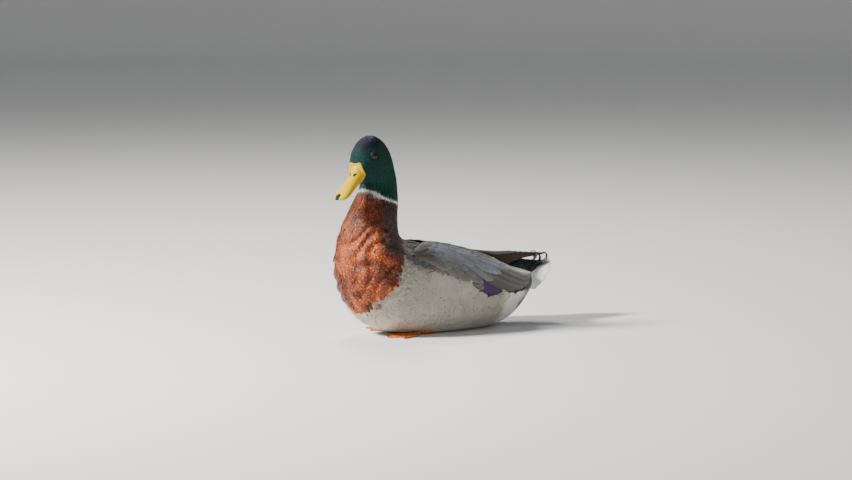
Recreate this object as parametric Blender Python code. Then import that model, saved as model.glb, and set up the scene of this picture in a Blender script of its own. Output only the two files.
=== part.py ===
"""A drake mallard at rest on its belly with its neck raised, life size, as a Blender model.

Run it with: blender --background --python part.py
The bird faces -Y with +Z up and its left side at +X. Lengths are in millimetres here and are
scaled to metres when a mesh is made. In the side profile, f is forward of the middle and z is up.
"""

import math

import bmesh
import bpy
import numpy as np
from mathutils import Vector
from mathutils.bvhtree import BVHTree

MM = 0.001  # metres in one unit of this file

# ---- driving sizes ----
GAP = 0.35  # left between solids that touch
HEAD_CENTRE = (138.0, 236.0)  # f and z of the point between the eyes
HEAD_PITCH = math.radians(30.0)  # the bill dips this far
HEAD_YAW = math.radians(12.0)  # the head turns this far to the bird's left
NECK_AXIS = 120.0  # f of the upright line that the neck turns about
BODY_SIDES = 32  # corners of a body section
EYE_RADIUS = 6.4
EYE_PLACE = (8.0, 9.0)  # forward of and above the head's centre, in the head's own frame
EYE_DEPTH = 5.0  # from the cheek's surface in to the eyeball's centre
MID = 12.9  # y is this minus f, which centres the whole bird on the origin

# ---- the body's sections, from the tail root to the bill's base ----
# Each holds the top point (f, z), the underside point (f, z), half the width, how high the widest
# level is (0 underside, 1 top), the section's squareness (2 is an ellipse), the share of the head's
# turn that it takes and how much it narrows towards its top. A point of the belly below z = 0 is
# flattened onto the floor.
TRUNK = [
    ((-134, 70), (-139, 46), 17, 0.50, 2.0, 0.0, 0.0),
    ((-120, 72), (-121, 32), 30, 0.50, 2.0, 0.0, 0.0),
    ((-100, 75), (-96, 14), 43, 0.50, 2.1, 0.0, 0.0),
    ((-75, 81), (-70, 2), 54, 0.48, 2.2, 0.0, 0.0),
    ((-46, 91), (-36, -3), 61.5, 0.46, 2.3, 0.0, 0.0),
    ((-10, 103), (-5, -4), 65, 0.45, 2.3, 0.0, 0.0),
    ((26, 112), (38, -4), 65.5, 0.45, 2.3, 0.0, 0.0),
    ((56, 119), (76, -1), 62, 0.45, 2.25, 0.0, 0.0),
    ((76, 123.5), (110, 4.5), 57.5, 0.46, 2.2, 0.0, 0.05),
    ((86, 127), (135, 14), 54.5, 0.47, 2.15, 0.0, 0.15),
]
BREAST = [
    ((90, 130.5), (156, 32), 52.5, 0.48, 2.1, 0.0, 0.30),
    ((92, 134), (172.5, 58), 50.5, 0.48, 2.1, 0.02, 0.38),
    ((93.5, 139), (179, 85), 47.5, 0.48, 2.05, 0.05, 0.38),
    ((93.8, 145.5), (181, 112), 42.5, 0.48, 2.0, 0.10, 0.34),
    ((93.5, 152.5), (176.5, 139), 35.5, 0.49, 2.0, 0.20, 0.24),
    ((93, 161), (166, 165), 29, 0.50, 2.0, 0.32, 0.12),
    ((92, 174), (150.5, 190), 25, 0.50, 2.0, 0.45, 0.05),
]
NECK = [
    ((92.7, 190), (147, 197), 23.6, 0.50, 2.0, 0.65, 0.04),
    ((94.5, 207), (146, 201), 23.0, 0.50, 2.0, 0.85, 0.04),
]
HEAD = [
    ((98.8, 222), (147, 203), 22.5, 0.50, 2.05, 1.0, 0.05),
    ((103.5, 236.5), (148.5, 203.5), 21.9, 0.50, 2.1, 1.0, 0.06),
    ((111, 249.5), (150.5, 204), 21.4, 0.50, 2.15, 1.0, 0.06),
    ((123, 260), (153, 205), 20.8, 0.49, 2.2, 1.0, 0.06),
    ((138, 265), (155.5, 206.5), 19.9, 0.48, 2.2, 1.0, 0.06),
    ((152.5, 259.5), (158, 208), 18.0, 0.47, 2.2, 1.0, 0.04),
    ((163.5, 246.5), (160.5, 210), 14.6, 0.46, 2.15, 1.0, 0.0),
    ((170, 231.5), (163, 213.5), 11.0, 0.45, 2.1, 1.0, 0.0),
]
STATIONS = TRUNK + BREAST + NECK + HEAD
RINGS_PER_STATION = 2  # rings made for each step from one section to the next

# ---- the shell that the folded wings lie on: f, its middle's height, half width, half height ----
WING_SHELL = [
    (88, 70, 54, 51),
    (62, 67, 65, 55),
    (25, 63, 69.5, 54),
    (-15, 59, 70, 49),
    (-55, 55, 66.5, 39),
    (-90, 51, 57, 30),
    (-122, 49, 44, 24),
]
WING_SQUARENESS = 2.25
# A wing's upper and lower edges: f, degrees down the shell from the back's middle line.
WING_UPPER = [(82, 38), (60, 22), (40, 13), (0, 13), (-70, 18), (-118, 32)]
WING_LOWER = [(82, 52), (60, 70), (34, 81), (0, 92), (-34, 101), (-88, 97), (-118, 52)]
WING_SINK = (5.0, 6.0)  # the inner face's depth at the wing's upper edge, and how much more lower down
WING_BLADE = 3.4  # thickness where the wing leaves the body
WING_RIM = 2.0  # how much thinner it is along its edges
# The long flight feathers: f, their upper edge's distance from the middle and z, their lower
# edge's, and their thickness.
PRIMARIES = [
    (-12, 1.3, 101.5, 12, 99.5, 5.0),
    (-32, 1.3, 102, 15, 98, 6.0),
    (-60, 1.3, 99, 19, 88, 7.0),
    (-76, 1.3, 97, 23, 82, 4.5),
    (-100, 1.3, 95, 18, 85.5, 2.8),
    (-120, 1.3, 93.8, 12.5, 87.5, 2.5),
    (-140, 1.3, 92.5, 8.5, 88.5, 2.3),
    (-158, 1.3, 91.5, 5.8, 89, 2.2),
    (-173, 1.3, 91, 4, 89.4, 2.2),
]
PRIMARY_BULGE = 2.0

# ---- the tail ----
TAIL_ROOT = (-100.0, 63.0)  # f and z of the point that the tail feathers spread from
TAIL_LENGTH = 76.0
TAIL_SPREAD = math.radians(46.0)  # to each side
TAIL_RISE = math.radians(13.0)
TAIL_DROOP = 0.58  # how far the outer feathers hang, as a share of their length
TAIL_SHORTER = 0.44  # how much shorter they are
TAIL_FEATHERS = 12
CURL_START = -135.0
CURL_TURNS_AT = -160.0
CURL_MIDDLE = 10.0
CURL_RADIUS = 6.2

# ---- the bill, in the head's own frame: forward of and above the head's centre ----
CULMEN = [
    (26.8, 10.4),
    (32.2, 6.9),
    (38.6, 3.1),
    (45.9, 0.0),
    (54.0, -2.4),
    (63.0, -4.3),
    (72.5, -5.8),
    (79.6, -6.8),
    (85.0, -9.4),
]
MOUTH = [
    (25.4, -6.3),
    (31.5, -7.4),
    (39.6, -8.5),
    (47.8, -9.7),
    (56.0, -11.0),
    (65.0, -11.9),
    (73.0, -11.9),
    (80.0, -11.0),
    (84.0, -10.4),
]
JAW = [
    (26.0, -13.7),
    (32.0, -14.7),
    (40.0, -15.0),
    (48.0, -15.3),
    (56.0, -15.5),
    (65.4, -15.6),
    (73.3, -15.0),
    (79.3, -13.9),
    (82.6, -12.0),
]
BILL_HALF_WIDTHS = [10.4, 10.2, 9.8, 9.4, 9.5, 10.4, 11.2, 9.6, 3.4]
BILL_SIDES = 20
JAW_INSET = 1.3  # the lower mandible is this much narrower on each side

# ---- the feet ----
FOOT_HEELS = {1: (74.0, 34.0), -1: (44.0, 42.0)}  # left and right: f and distance from the middle
TOES = [(-30.0, 45.0), (-2.0, 56.0), (24.0, 50.0)]  # degrees outward, length
WEB_THICKNESS = 1.5
TOE_HEIGHT = 3.4
TARSUS = (47.0, 5.0)  # how far behind the toes' heel the ankle is, and how far inside it
LEG_RADII = (4.4, 3.3, 3.0, 3.0, 2.9)  # from the ankle to the toes


def spline(points, where):
    """Catmull-Rom through points, one row each, at the places where, which run from 0 to len - 1."""
    p = np.asarray(points, float)
    p = p.reshape(len(p), -1)
    ends = np.vstack([2 * p[0] - p[1], p, 2 * p[-1] - p[-2]])
    t = np.clip(np.atleast_1d(np.asarray(where, float)), 0, len(p) - 1)
    i = np.minimum(t.astype(int), len(p) - 2)
    u = (t - i)[:, None]
    a, b, c, d = ends[i], ends[i + 1], ends[i + 2], ends[i + 3]
    return 0.5 * (2 * b + (c - a) * u + (2 * a - 5 * b + 4 * c - d) * u**2 + (3 * (b - c) + d - a) * u**3)


def smooth_step(x):
    x = np.clip(x, 0, 1)
    return x * x * (3 - 2 * x)


def on_side(f, across, z, side=1):
    """(f, distance to the bird's left, z) as x, y, z in millimetres; side -1 mirrors it."""
    return np.stack(np.broadcast_arrays(side * across, MID - f, z), axis=-1).astype(float)


def turned(points, share):
    """Points turned about the neck's upright line by a share of the head's turn."""
    angle = share * HEAD_YAW
    pivot = on_side(NECK_AXIS, 0.0, 0.0)
    p = points - pivot
    c, s = np.cos(angle), np.sin(angle)
    x = p[..., 0] * c - p[..., 1] * s
    y = p[..., 0] * s + p[..., 1] * c
    return np.stack([x, y, p[..., 2]], axis=-1) + pivot


def in_head(forward, across, up):
    """A point of the head's own frame, in the model's frame."""
    forward, across, up = np.broadcast_arrays(forward, across, up)
    f = HEAD_CENTRE[0] + forward * math.cos(HEAD_PITCH) + up * math.sin(HEAD_PITCH)
    z = HEAD_CENTRE[1] - forward * math.sin(HEAD_PITCH) + up * math.cos(HEAD_PITCH)
    return turned(on_side(f, across, z), 1.0)


def power(x, squareness):
    return np.sign(x) * np.abs(x) ** (2 / squareness)


def section(where, grow=0.0):
    """The body's ring of points at a place along STATIONS, grown outwards by grow."""
    row = [(*top, *under, *rest) for top, under, *rest in STATIONS]
    top_f, top_z, under_f, under_z, half, level, square, turn, pinch = spline(row, where)[0]
    angle = np.linspace(0, 2 * math.pi, BODY_SIDES, endpoint=False)
    up, side = power(np.cos(angle), square), power(np.sin(angle), square)
    height = math.hypot(top_f - under_f, top_z - under_z)
    lift = np.where(up > 0, (1 - level) * height + grow, level * height + grow) * up
    f = under_f + (top_f - under_f) * (level + lift / height)
    z = under_z + (top_z - under_z) * (level + lift / height)
    half = half * (1 - pinch * np.maximum(up, 0.0) ** 1.5) + grow
    ring = turned(on_side(f, half * side, z), turn)
    ring[:, 2] = np.maximum(ring[:, 2], -grow)
    return ring


def mesh_object(name, vertices, faces, material, smooth=True):
    """A closed mesh object, its vertices in millimetres and its faces turned outwards."""
    mesh = bpy.data.meshes.new(name)
    mesh.from_pydata([tuple(v) for v in np.asarray(vertices) * MM], [], faces)
    work = bmesh.new()
    work.from_mesh(mesh)
    bmesh.ops.remove_doubles(work, verts=work.verts, dist=0.02 * MM)
    bmesh.ops.recalc_face_normals(work, faces=work.faces)
    work.to_mesh(mesh)
    work.free()
    obj = bpy.data.objects.new(name, mesh)
    bpy.context.scene.collection.objects.link(obj)
    if smooth:
        mesh.shade_smooth()
        mesh.set_sharp_from_angle(angle=math.radians(40))
    if material:
        mesh.materials.append(material)
    return obj


def loft(name, rings, material):
    """A closed solid through rings of equally many points, with flat ends."""
    count = len(rings[0])
    faces = []
    for i in range(len(rings) - 1):
        for j in range(count):
            k = (j + 1) % count
            faces.append((i * count + j, i * count + k, (i + 1) * count + k, (i + 1) * count + j))
    last = (len(rings) - 1) * count
    faces.append(tuple(range(count)))
    faces.append(tuple(last + j for j in range(count)))
    return mesh_object(name, np.concatenate(rings), faces, material)


def slab(name, outer, inner, material):
    """A closed solid between two grids of points with the same rows and columns."""
    rows, columns = outer.shape[:2]
    under = rows * columns

    def at(i, j):
        return i * columns + j

    faces = []
    for i in range(rows - 1):
        for j in range(columns - 1):
            quad = (at(i, j), at(i, j + 1), at(i + 1, j + 1), at(i + 1, j))
            faces += [quad, tuple(under + q for q in reversed(quad))]
    border = [at(0, j) for j in range(columns)]
    border += [at(i, columns - 1) for i in range(1, rows)]
    border += [at(rows - 1, j) for j in range(columns - 2, -1, -1)]
    border += [at(i, 0) for i in range(rows - 2, 0, -1)]
    for a, b in zip(border, border[1:] + border[:1]):
        faces.append((a, b, under + b, under + a))
    points = np.concatenate([outer.reshape(-1, 3), inner.reshape(-1, 3)])
    return mesh_object(name, points, faces, material)


def cutter(obj):
    """Marks an object as a helper that only cuts others."""
    obj.hide_render = True
    obj.display_type = "WIRE"
    return obj


def cut(obj, tool, operation="DIFFERENCE"):
    modifier = obj.modifiers.new("cut_by_" + tool.name, "BOOLEAN")
    modifier.operation = operation
    modifier.solver = "EXACT"
    modifier.object = tool
    return obj


def paint(name, colour, roughness, metallic=0.0):
    material = bpy.data.materials.new(name)
    material.use_nodes = True
    shader = material.node_tree.nodes["Principled BSDF"]
    shader.inputs["Base Color"].default_value = (*colour, 1.0)
    shader.inputs["Roughness"].default_value = roughness
    shader.inputs["Metallic"].default_value = metallic
    return material


def paints():
    return {
        "green": paint("green_plumage", (0.01, 0.07, 0.035), 0.35),
        "chestnut": paint("chestnut_plumage", (0.13, 0.04, 0.02), 0.6),
        "grey": paint("grey_plumage", (0.38, 0.36, 0.33), 0.7),
        "wing": paint("wing_plumage", (0.16, 0.14, 0.12), 0.6),
        "dusky": paint("dusky_plumage", (0.07, 0.045, 0.03), 0.6),
        "white": paint("white_plumage", (0.8, 0.78, 0.74), 0.7),
        "black": paint("black_plumage", (0.012, 0.012, 0.016), 0.4),
        "yellow": paint("bill_horn", (0.72, 0.55, 0.05), 0.4),
        "orange": paint("foot_skin", (0.75, 0.2, 0.02), 0.5),
        "eye": paint("eye", (0.02, 0.01, 0.006), 0.05),
    }


def body_places(first, last):
    steps = (last - first) * RINGS_PER_STATION
    return np.linspace(first, last, steps + 1)


def shifted_end(ring, towards):
    """An end ring drawn back by half a gap from the thin cut that parts two lengths of the body."""
    normal = np.cross(ring[BODY_SIDES // 4] - ring[0], ring[BODY_SIDES // 2] - ring[0])
    normal /= np.linalg.norm(normal)
    if normal @ (towards - ring.mean(0)) < 0:
        normal = -normal
    return ring + normal * GAP / 2


def body_length(name, first, last, material):
    """One length of the body, from one station to another."""
    rings = [section(place) for place in body_places(first, last)]
    if first > 0:
        rings[0] = shifted_end(rings[0], rings[1].mean(0))
    if last < len(STATIONS) - 1:
        rings[-1] = shifted_end(rings[-1], rings[-2].mean(0))
    return loft(name, rings, material)


def body_cutter(name, first, last, grow=GAP):
    """The same stretch of body grown by a gap, for cutting what lies on it."""
    rings = [section(place, grow) for place in body_places(first, last)]
    return cutter(loft(name, rings, None))


def wing_shell(f, degrees, rise=0.0):
    """A point of the wings' shell, that far down from the back's middle line."""
    rows = np.asarray(WING_SHELL, float)
    place = np.interp(-np.asarray(f, float), -rows[:, 0], np.arange(len(rows)))
    middle, half, high = spline(rows[:, 1:], place.ravel()).T.reshape((3, *np.shape(f)))
    angle = np.radians(degrees)
    across = (half + rise) * power(np.sin(angle), WING_SQUARENESS)
    z = middle + (high + rise) * power(np.cos(angle), WING_SQUARENESS)
    return f, across, z


def edge_at(edge, f):
    rows = np.asarray(edge, float)
    place = np.interp(-np.asarray(f, float), -rows[:, 0], np.arange(len(rows)))
    return spline(rows[:, 1:], place).ravel()


def wing_patch(upper, lower, rows, columns, rise):
    """f and degrees of a grid over the shell between two edges, with rise(along, down) at each."""
    first, last = upper[0][0], upper[-1][0]
    along = np.linspace(0, 1, rows)
    f = first + (last - first) * along
    down = np.linspace(0, 1, columns)
    degrees = edge_at(upper, f)[:, None] * (1 - down) + edge_at(lower, f)[:, None] * down
    along_grid, down_grid = np.meshgrid(along, down, indexing="ij")
    return wing_shell(np.repeat(f[:, None], columns, 1), degrees, rise(along_grid, down_grid))


def wing_grids(side, grow=0.0):
    """The outer and inner faces of the folded wing, pushed apart by grow."""

    def outer_rise(along, down):
        rim = np.minimum(smooth_step(down / 0.14), smooth_step((1 - down) / 0.12))
        return grow - WING_RIM * (1 - rim) - 3.0 * (1 - smooth_step(along / 0.12))

    def inner_rise(along, down):
        free = smooth_step((along - 0.42) / 0.25)
        return -grow - (WING_SINK[0] + WING_SINK[1] * down) * (1 - free) - WING_BLADE * free

    rows, columns = 17, 10
    upper = [(f, degrees - 3 * grow) for f, degrees in WING_UPPER]
    lower = [(f, degrees + 3 * grow) for f, degrees in WING_LOWER]
    upper[-1] = (upper[-1][0] - grow, upper[-1][1])
    outer = on_side(*wing_patch(upper, lower, rows, columns, outer_rise), side)
    inner = on_side(*wing_patch(upper, lower, rows, columns, inner_rise), side)
    return outer, inner


def make_wing(name, side, material, body):
    """The folded wing: coverts, secondaries and the long tertials over the back."""
    return cut(slab(name, *wing_grids(side), material), body)


def make_primaries(name, side, material, body):
    """The long flight feathers of one wing, closed to a blade that leans on the middle of the rump."""
    rows, columns = 17, 6
    places = np.linspace(0, len(PRIMARIES) - 1, rows)
    f, high_across, high_z, low_across, low_z, thick = spline(PRIMARIES, places).T
    down = np.linspace(0, 1, columns)
    bulge = PRIMARY_BULGE * np.sin(math.pi * down) * np.minimum(1, (low_across / 20)[:, None])
    across = high_across[:, None] * (1 - down) + low_across[:, None] * down + 0.6 * bulge
    z = high_z[:, None] * (1 - down) + low_z[:, None] * down + bulge
    f = np.repeat(f[:, None], columns, 1)
    outer = on_side(f, across, z, side)
    inner = on_side(f, across, z - thick[:, None], side)
    return cut(slab(name, outer, inner, material), body)


def tail_point(radius, angle, lift=0.0):
    """A point of the fan: radius from the root, angle to the side, lift off its surface."""
    share = angle / TAIL_SPREAD
    f = TAIL_ROOT[0] - radius * np.cos(angle)
    z = TAIL_ROOT[1] + radius * math.sin(TAIL_RISE) - TAIL_DROOP * radius * share**2 + lift
    return on_side(f, radius * np.sin(angle), z)


def make_tail(material, body):
    """The spread tail, its edge stepped into the tips of the feathers."""
    columns = TAIL_FEATHERS * 3 + 1
    rows = 7
    share = np.linspace(-1, 1, columns)
    feather = np.abs(np.sin(np.linspace(0, TAIL_FEATHERS * math.pi, columns)))
    reach = TAIL_LENGTH * (1 - TAIL_SHORTER * np.abs(share) ** 1.5) - 4.0 * (1 - feather)
    along = np.linspace(0.25, 1, rows)
    radius = along[:, None] * reach
    angle = np.repeat(share[None] * TAIL_SPREAD, rows, 0)
    thick = (3.6 - 2.6 * along)[:, None] * np.ones(columns)
    crown = 0.5 * feather[None] * along[:, None]
    outer = tail_point(radius, angle, thick / 2 + crown)
    inner = tail_point(radius, angle, -thick / 2)
    return cut(slab("tail", outer, inner, material), body)


def make_curl(name, side, material, body):
    """One of the drake's curled feathers: a ribbon along the tail that turns up and forward."""
    lift = 3.4
    path = []
    for f in np.linspace(CURL_START, CURL_TURNS_AT, 4):
        radius = TAIL_ROOT[0] - f
        path.append((f, TAIL_ROOT[1] + radius * math.sin(TAIL_RISE) + lift))
    centre_f, centre_z = CURL_TURNS_AT, path[-1][1] + CURL_RADIUS
    for angle in np.linspace(0, math.radians(225), 11)[1:]:
        reach = CURL_RADIUS * (1 - 0.12 * angle / math.pi)
        path.append((centre_f - reach * math.sin(angle), centre_z - reach * math.cos(angle)))
    path = np.array(path)
    ahead = np.gradient(path, axis=0)
    ahead /= np.linalg.norm(ahead, axis=1)[:, None]
    normal = np.stack([-ahead[:, 1], ahead[:, 0]], axis=1)
    share = np.linspace(0, 1, len(path))
    half = 2.6 * (1 - 0.55 * share**2)
    thickness = 1.1
    grids = []
    for sign in (0.5, -0.5):
        offset = path + normal * thickness * sign
        middle = CURL_MIDDLE + 1.6 * share
        grid = [on_side(offset[:, 0], middle + half * across, offset[:, 1], side) for across in (-1, 0, 1)]
        grids.append(np.stack(grid, axis=1))
    return cut(slab(name, grids[0], grids[1], material), body)


def bill_ring(place, top, under, narrow, lean):
    """A bill section between two side profiles. lean 1 domes the top half, -1 the lower half."""
    high = spline(top, place)[0]
    low = spline(under, place)[0]
    half = spline([[w] for w in BILL_HALF_WIDTHS], place)[0][0] - narrow
    angle = np.linspace(0, math.pi, BILL_SIDES // 2 + 1)
    rise = np.sin(angle) ** 0.8
    dome = [(half * math.cos(a), r) for a, r in zip(angle, rise)]
    flat = [(half * math.cos(a), 0.0) for a in angle[::-1][1:-1]]
    ring = []
    for across, share in dome + flat:
        share = share if lean > 0 else 1 - share
        forward = low[0] + (high[0] - low[0]) * share
        up = low[1] + (high[1] - low[1]) * share
        ring.append(in_head(forward, across, up))
    return np.array(ring)


def make_bill_upper(material, head):
    places = np.linspace(0, len(CULMEN) - 1, 13)
    rings = [bill_ring(p, CULMEN, MOUTH, 0.0, 1) for p in places]
    return cut(loft("bill_upper", rings, material), head)


def make_bill_lower(material, head):
    roof = [(f, up - GAP) for f, up in MOUTH]
    places = np.linspace(0, len(JAW) - 1, 10)
    rings = [bill_ring(p, roof, JAW, JAW_INSET, -1) for p in places]
    return cut(loft("bill_lower", rings, material), head)


def eye_centre(side, head_tree):
    """The eyeball's centre, set in from the cheek where a ray from inside the head comes out."""
    forward, up = EYE_PLACE
    inside = Vector(in_head(forward, 0.0, up) * MM)
    outside = Vector(in_head(forward, side * 60.0, up) * MM)
    ray = (outside - inside).normalized()
    hit = head_tree.ray_cast(inside, ray)[0]
    return np.array(hit - ray * EYE_DEPTH * MM) / MM


def ball(name, centre, radius, material):
    rows, sides = 8, 14
    rings = []
    for i in range(1, rows):
        tilt = math.pi * i / rows
        turn = np.linspace(0, 2 * math.pi, sides, endpoint=False)
        wide, high = np.sin(tilt) * np.cos(turn), np.sin(tilt) * np.sin(turn)
        ring = np.stack([np.full(sides, np.cos(tilt)), wide, high], axis=1)
        rings.append(centre + radius * ring)
    poles = [np.repeat((centre + radius * np.array([x, 0, 0]))[None], sides, 0) for x in (1, -1)]
    return loft(name, [poles[0], *rings, poles[1]], material)


def foot_grid(side, grow):
    """Top and bottom grids of a webbed foot, as a fan of directions by steps from the heel."""
    directions = np.linspace(TOES[0][0] - 5, TOES[-1][0] + 5, 29)
    toe_angles, toe_lengths = np.array(TOES).T
    reach = np.interp(directions, toe_angles, toe_lengths)
    gap = np.min(np.abs(directions[:, None] - toe_angles), axis=1)
    web = 1 - 0.17 * smooth_step((gap - 2.0) / 9.0)
    outside = (directions < toe_angles[0]) | (directions > toe_angles[-1])
    reach = reach * web * np.where(outside, 1 - 0.5 * gap / 5.0, 1.0)
    steps = np.linspace(0.0, 1.0, 7)
    radius = 2.0 + steps[None] * (reach[:, None] - 2.0)
    ridge = np.exp(-((radius * np.radians(gap)[:, None] / 2.6) ** 2))
    top = WEB_THICKNESS + (TOE_HEIGHT - WEB_THICKNESS) * ridge * (1 - 0.45 * steps[None])
    knuckle = TOE_HEIGHT + 2.0 * (1 - steps[None]) ** 4
    top = np.maximum(top, np.minimum(knuckle, 5.4) * (1 - smooth_step(steps[None] / 0.22)))
    along = np.radians(np.repeat(directions[:, None], len(steps), 1))
    heel_f, heel_across = FOOT_HEELS[side]
    f = heel_f + radius * np.cos(along)
    across = heel_across + radius * np.sin(along)
    return on_side(f, across, top + grow, side), on_side(f, across, np.full_like(top, -grow), side)


def make_foot(name, side, material):
    top, bottom = foot_grid(side, 0.0)
    return slab(name, top, bottom, material)


def tube(name, points, radii, sides, material):
    """A closed round solid along points, with the radius given at each."""
    points = np.asarray(points, float)
    ahead = np.gradient(points, axis=0)
    rings = []
    for point, direction, radius in zip(points, ahead, radii):
        direction = direction / np.linalg.norm(direction)
        level = np.cross(direction, (0.0, 0.0, 1.0))
        level /= np.linalg.norm(level)
        upright = np.cross(level, direction)
        turn = np.linspace(0, 2 * math.pi, sides, endpoint=False)[:, None]
        rings.append(point + radius * (np.cos(turn) * level + np.sin(turn) * upright))
    return loft(name, rings, material)


def leg_points(side):
    heel_f, heel_across = FOOT_HEELS[side]
    share = np.linspace(0, 1, len(LEG_RADII))
    f = heel_f - TARSUS[0] * (1 - share) - 3.0 * share
    across = heel_across - TARSUS[1] * (1 - share)
    return on_side(f, across, 5.2 - 1.2 * share, side)


def make_leg(name, side, material, grow=0.0):
    radii = [radius + grow for radius in LEG_RADII]
    return tube(name, leg_points(side), radii, 12, material)


def tree_of(obj):
    graph = bpy.context.evaluated_depsgraph_get()
    return BVHTree.FromObject(obj, graph)


def make_bird():
    colour = paints()
    breast_at = len(TRUNK) - 1
    neck_at = breast_at + len(BREAST)
    head_at = neck_at + len(NECK)
    last = len(STATIONS) - 1

    trunk = body_length("trunk", 0, breast_at, colour["grey"])
    body_length("breast", breast_at, neck_at, colour["chestnut"])
    body_length("neck", neck_at, head_at, colour["green"])
    head = body_length("head", head_at, last, colour["green"])

    body = body_cutter("body_cutter", 0, breast_at + 4)
    head_cutter = body_cutter("head_cutter", head_at + 1, last)
    bpy.context.view_layer.update()
    head_tree = tree_of(head)

    for label, side in (("left", 1), ("right", -1)):
        make_wing("wing_" + label, side, colour["wing"], body)
        primaries = make_primaries("primaries_" + label, side, colour["dusky"], body)
        cut(primaries, cutter(slab("wing_space_" + label, *wing_grids(side, GAP), None)))
        make_curl("curl_" + label, side, colour["black"], body)

        make_foot("foot_" + label, side, colour["orange"])
        make_leg("leg_" + label, side, colour["orange"])
        foot_space = cutter(slab("foot_space_" + label, *foot_grid(side, GAP), None))
        leg_space = cutter(make_leg("leg_space_" + label, side, None, GAP))
        cut(trunk, foot_space)
        cut(trunk, leg_space)

        centre = eye_centre(side, head_tree)
        ball("eye_" + label, centre, EYE_RADIUS, colour["eye"])
        socket = cutter(ball("socket_" + label, centre, EYE_RADIUS + GAP, None))
        cut(head, socket)

    make_tail(colour["white"], body)
    make_bill_upper(colour["yellow"], head_cutter)
    make_bill_lower(colour["yellow"], head_cutter)


def main():
    for obj in list(bpy.data.objects):
        bpy.data.objects.remove(obj)
    make_bird()


main()
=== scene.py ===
"""The looks of a life-size drake mallard resting on its belly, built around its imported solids.

Lengths are in millimetres, and are scaled to metres when a mesh is made. Only those of the stage,
the lights and the camera are in metres from the start. The bird faces -Y with its left side at +X.
In the side profile f is forward of the middle and z is up. The body's sections, the wings' shell
and the bill's profiles are those of the solids, so that the skin and the feathers lie where the
solids are. A feather is a closed thin leaf on a surface with two coordinates, p and q: along the
bird and round it.
"""

import math
from functools import partial

import bmesh
import bpy
import numpy as np
from mathutils import Matrix, Vector
from mathutils.bvhtree import BVHTree


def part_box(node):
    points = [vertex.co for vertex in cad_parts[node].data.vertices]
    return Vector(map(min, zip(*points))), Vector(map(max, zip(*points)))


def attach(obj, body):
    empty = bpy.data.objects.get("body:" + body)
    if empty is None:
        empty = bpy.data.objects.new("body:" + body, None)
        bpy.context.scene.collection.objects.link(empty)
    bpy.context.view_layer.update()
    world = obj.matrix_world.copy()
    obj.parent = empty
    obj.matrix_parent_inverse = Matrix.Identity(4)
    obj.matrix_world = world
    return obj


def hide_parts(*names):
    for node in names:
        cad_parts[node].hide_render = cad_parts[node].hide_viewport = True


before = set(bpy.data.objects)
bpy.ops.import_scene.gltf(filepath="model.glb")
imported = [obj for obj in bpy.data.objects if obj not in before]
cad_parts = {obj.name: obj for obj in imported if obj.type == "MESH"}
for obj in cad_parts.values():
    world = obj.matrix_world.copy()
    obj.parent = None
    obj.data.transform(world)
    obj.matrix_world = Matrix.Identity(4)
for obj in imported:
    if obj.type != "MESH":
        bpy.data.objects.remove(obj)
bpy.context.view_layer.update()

MM = 0.001
BODY = "root"
TURN = 2 * math.pi
SIDES = (("left", 1), ("right", -1))

# ---- sizes shared with the solids ----
HEAD_CENTRE = (138.0, 236.0)  # f and z of the point between the eyes
HEAD_PITCH = math.radians(30.0)
HEAD_YAW = math.radians(12.0)
NECK_AXIS = 120.0  # f of the upright line that the neck turns about
EYE_RADIUS = 6.4
MID = 12.9  # y is this minus f
FLOOR_GAP = 0.15  # the least height of the coat

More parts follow.
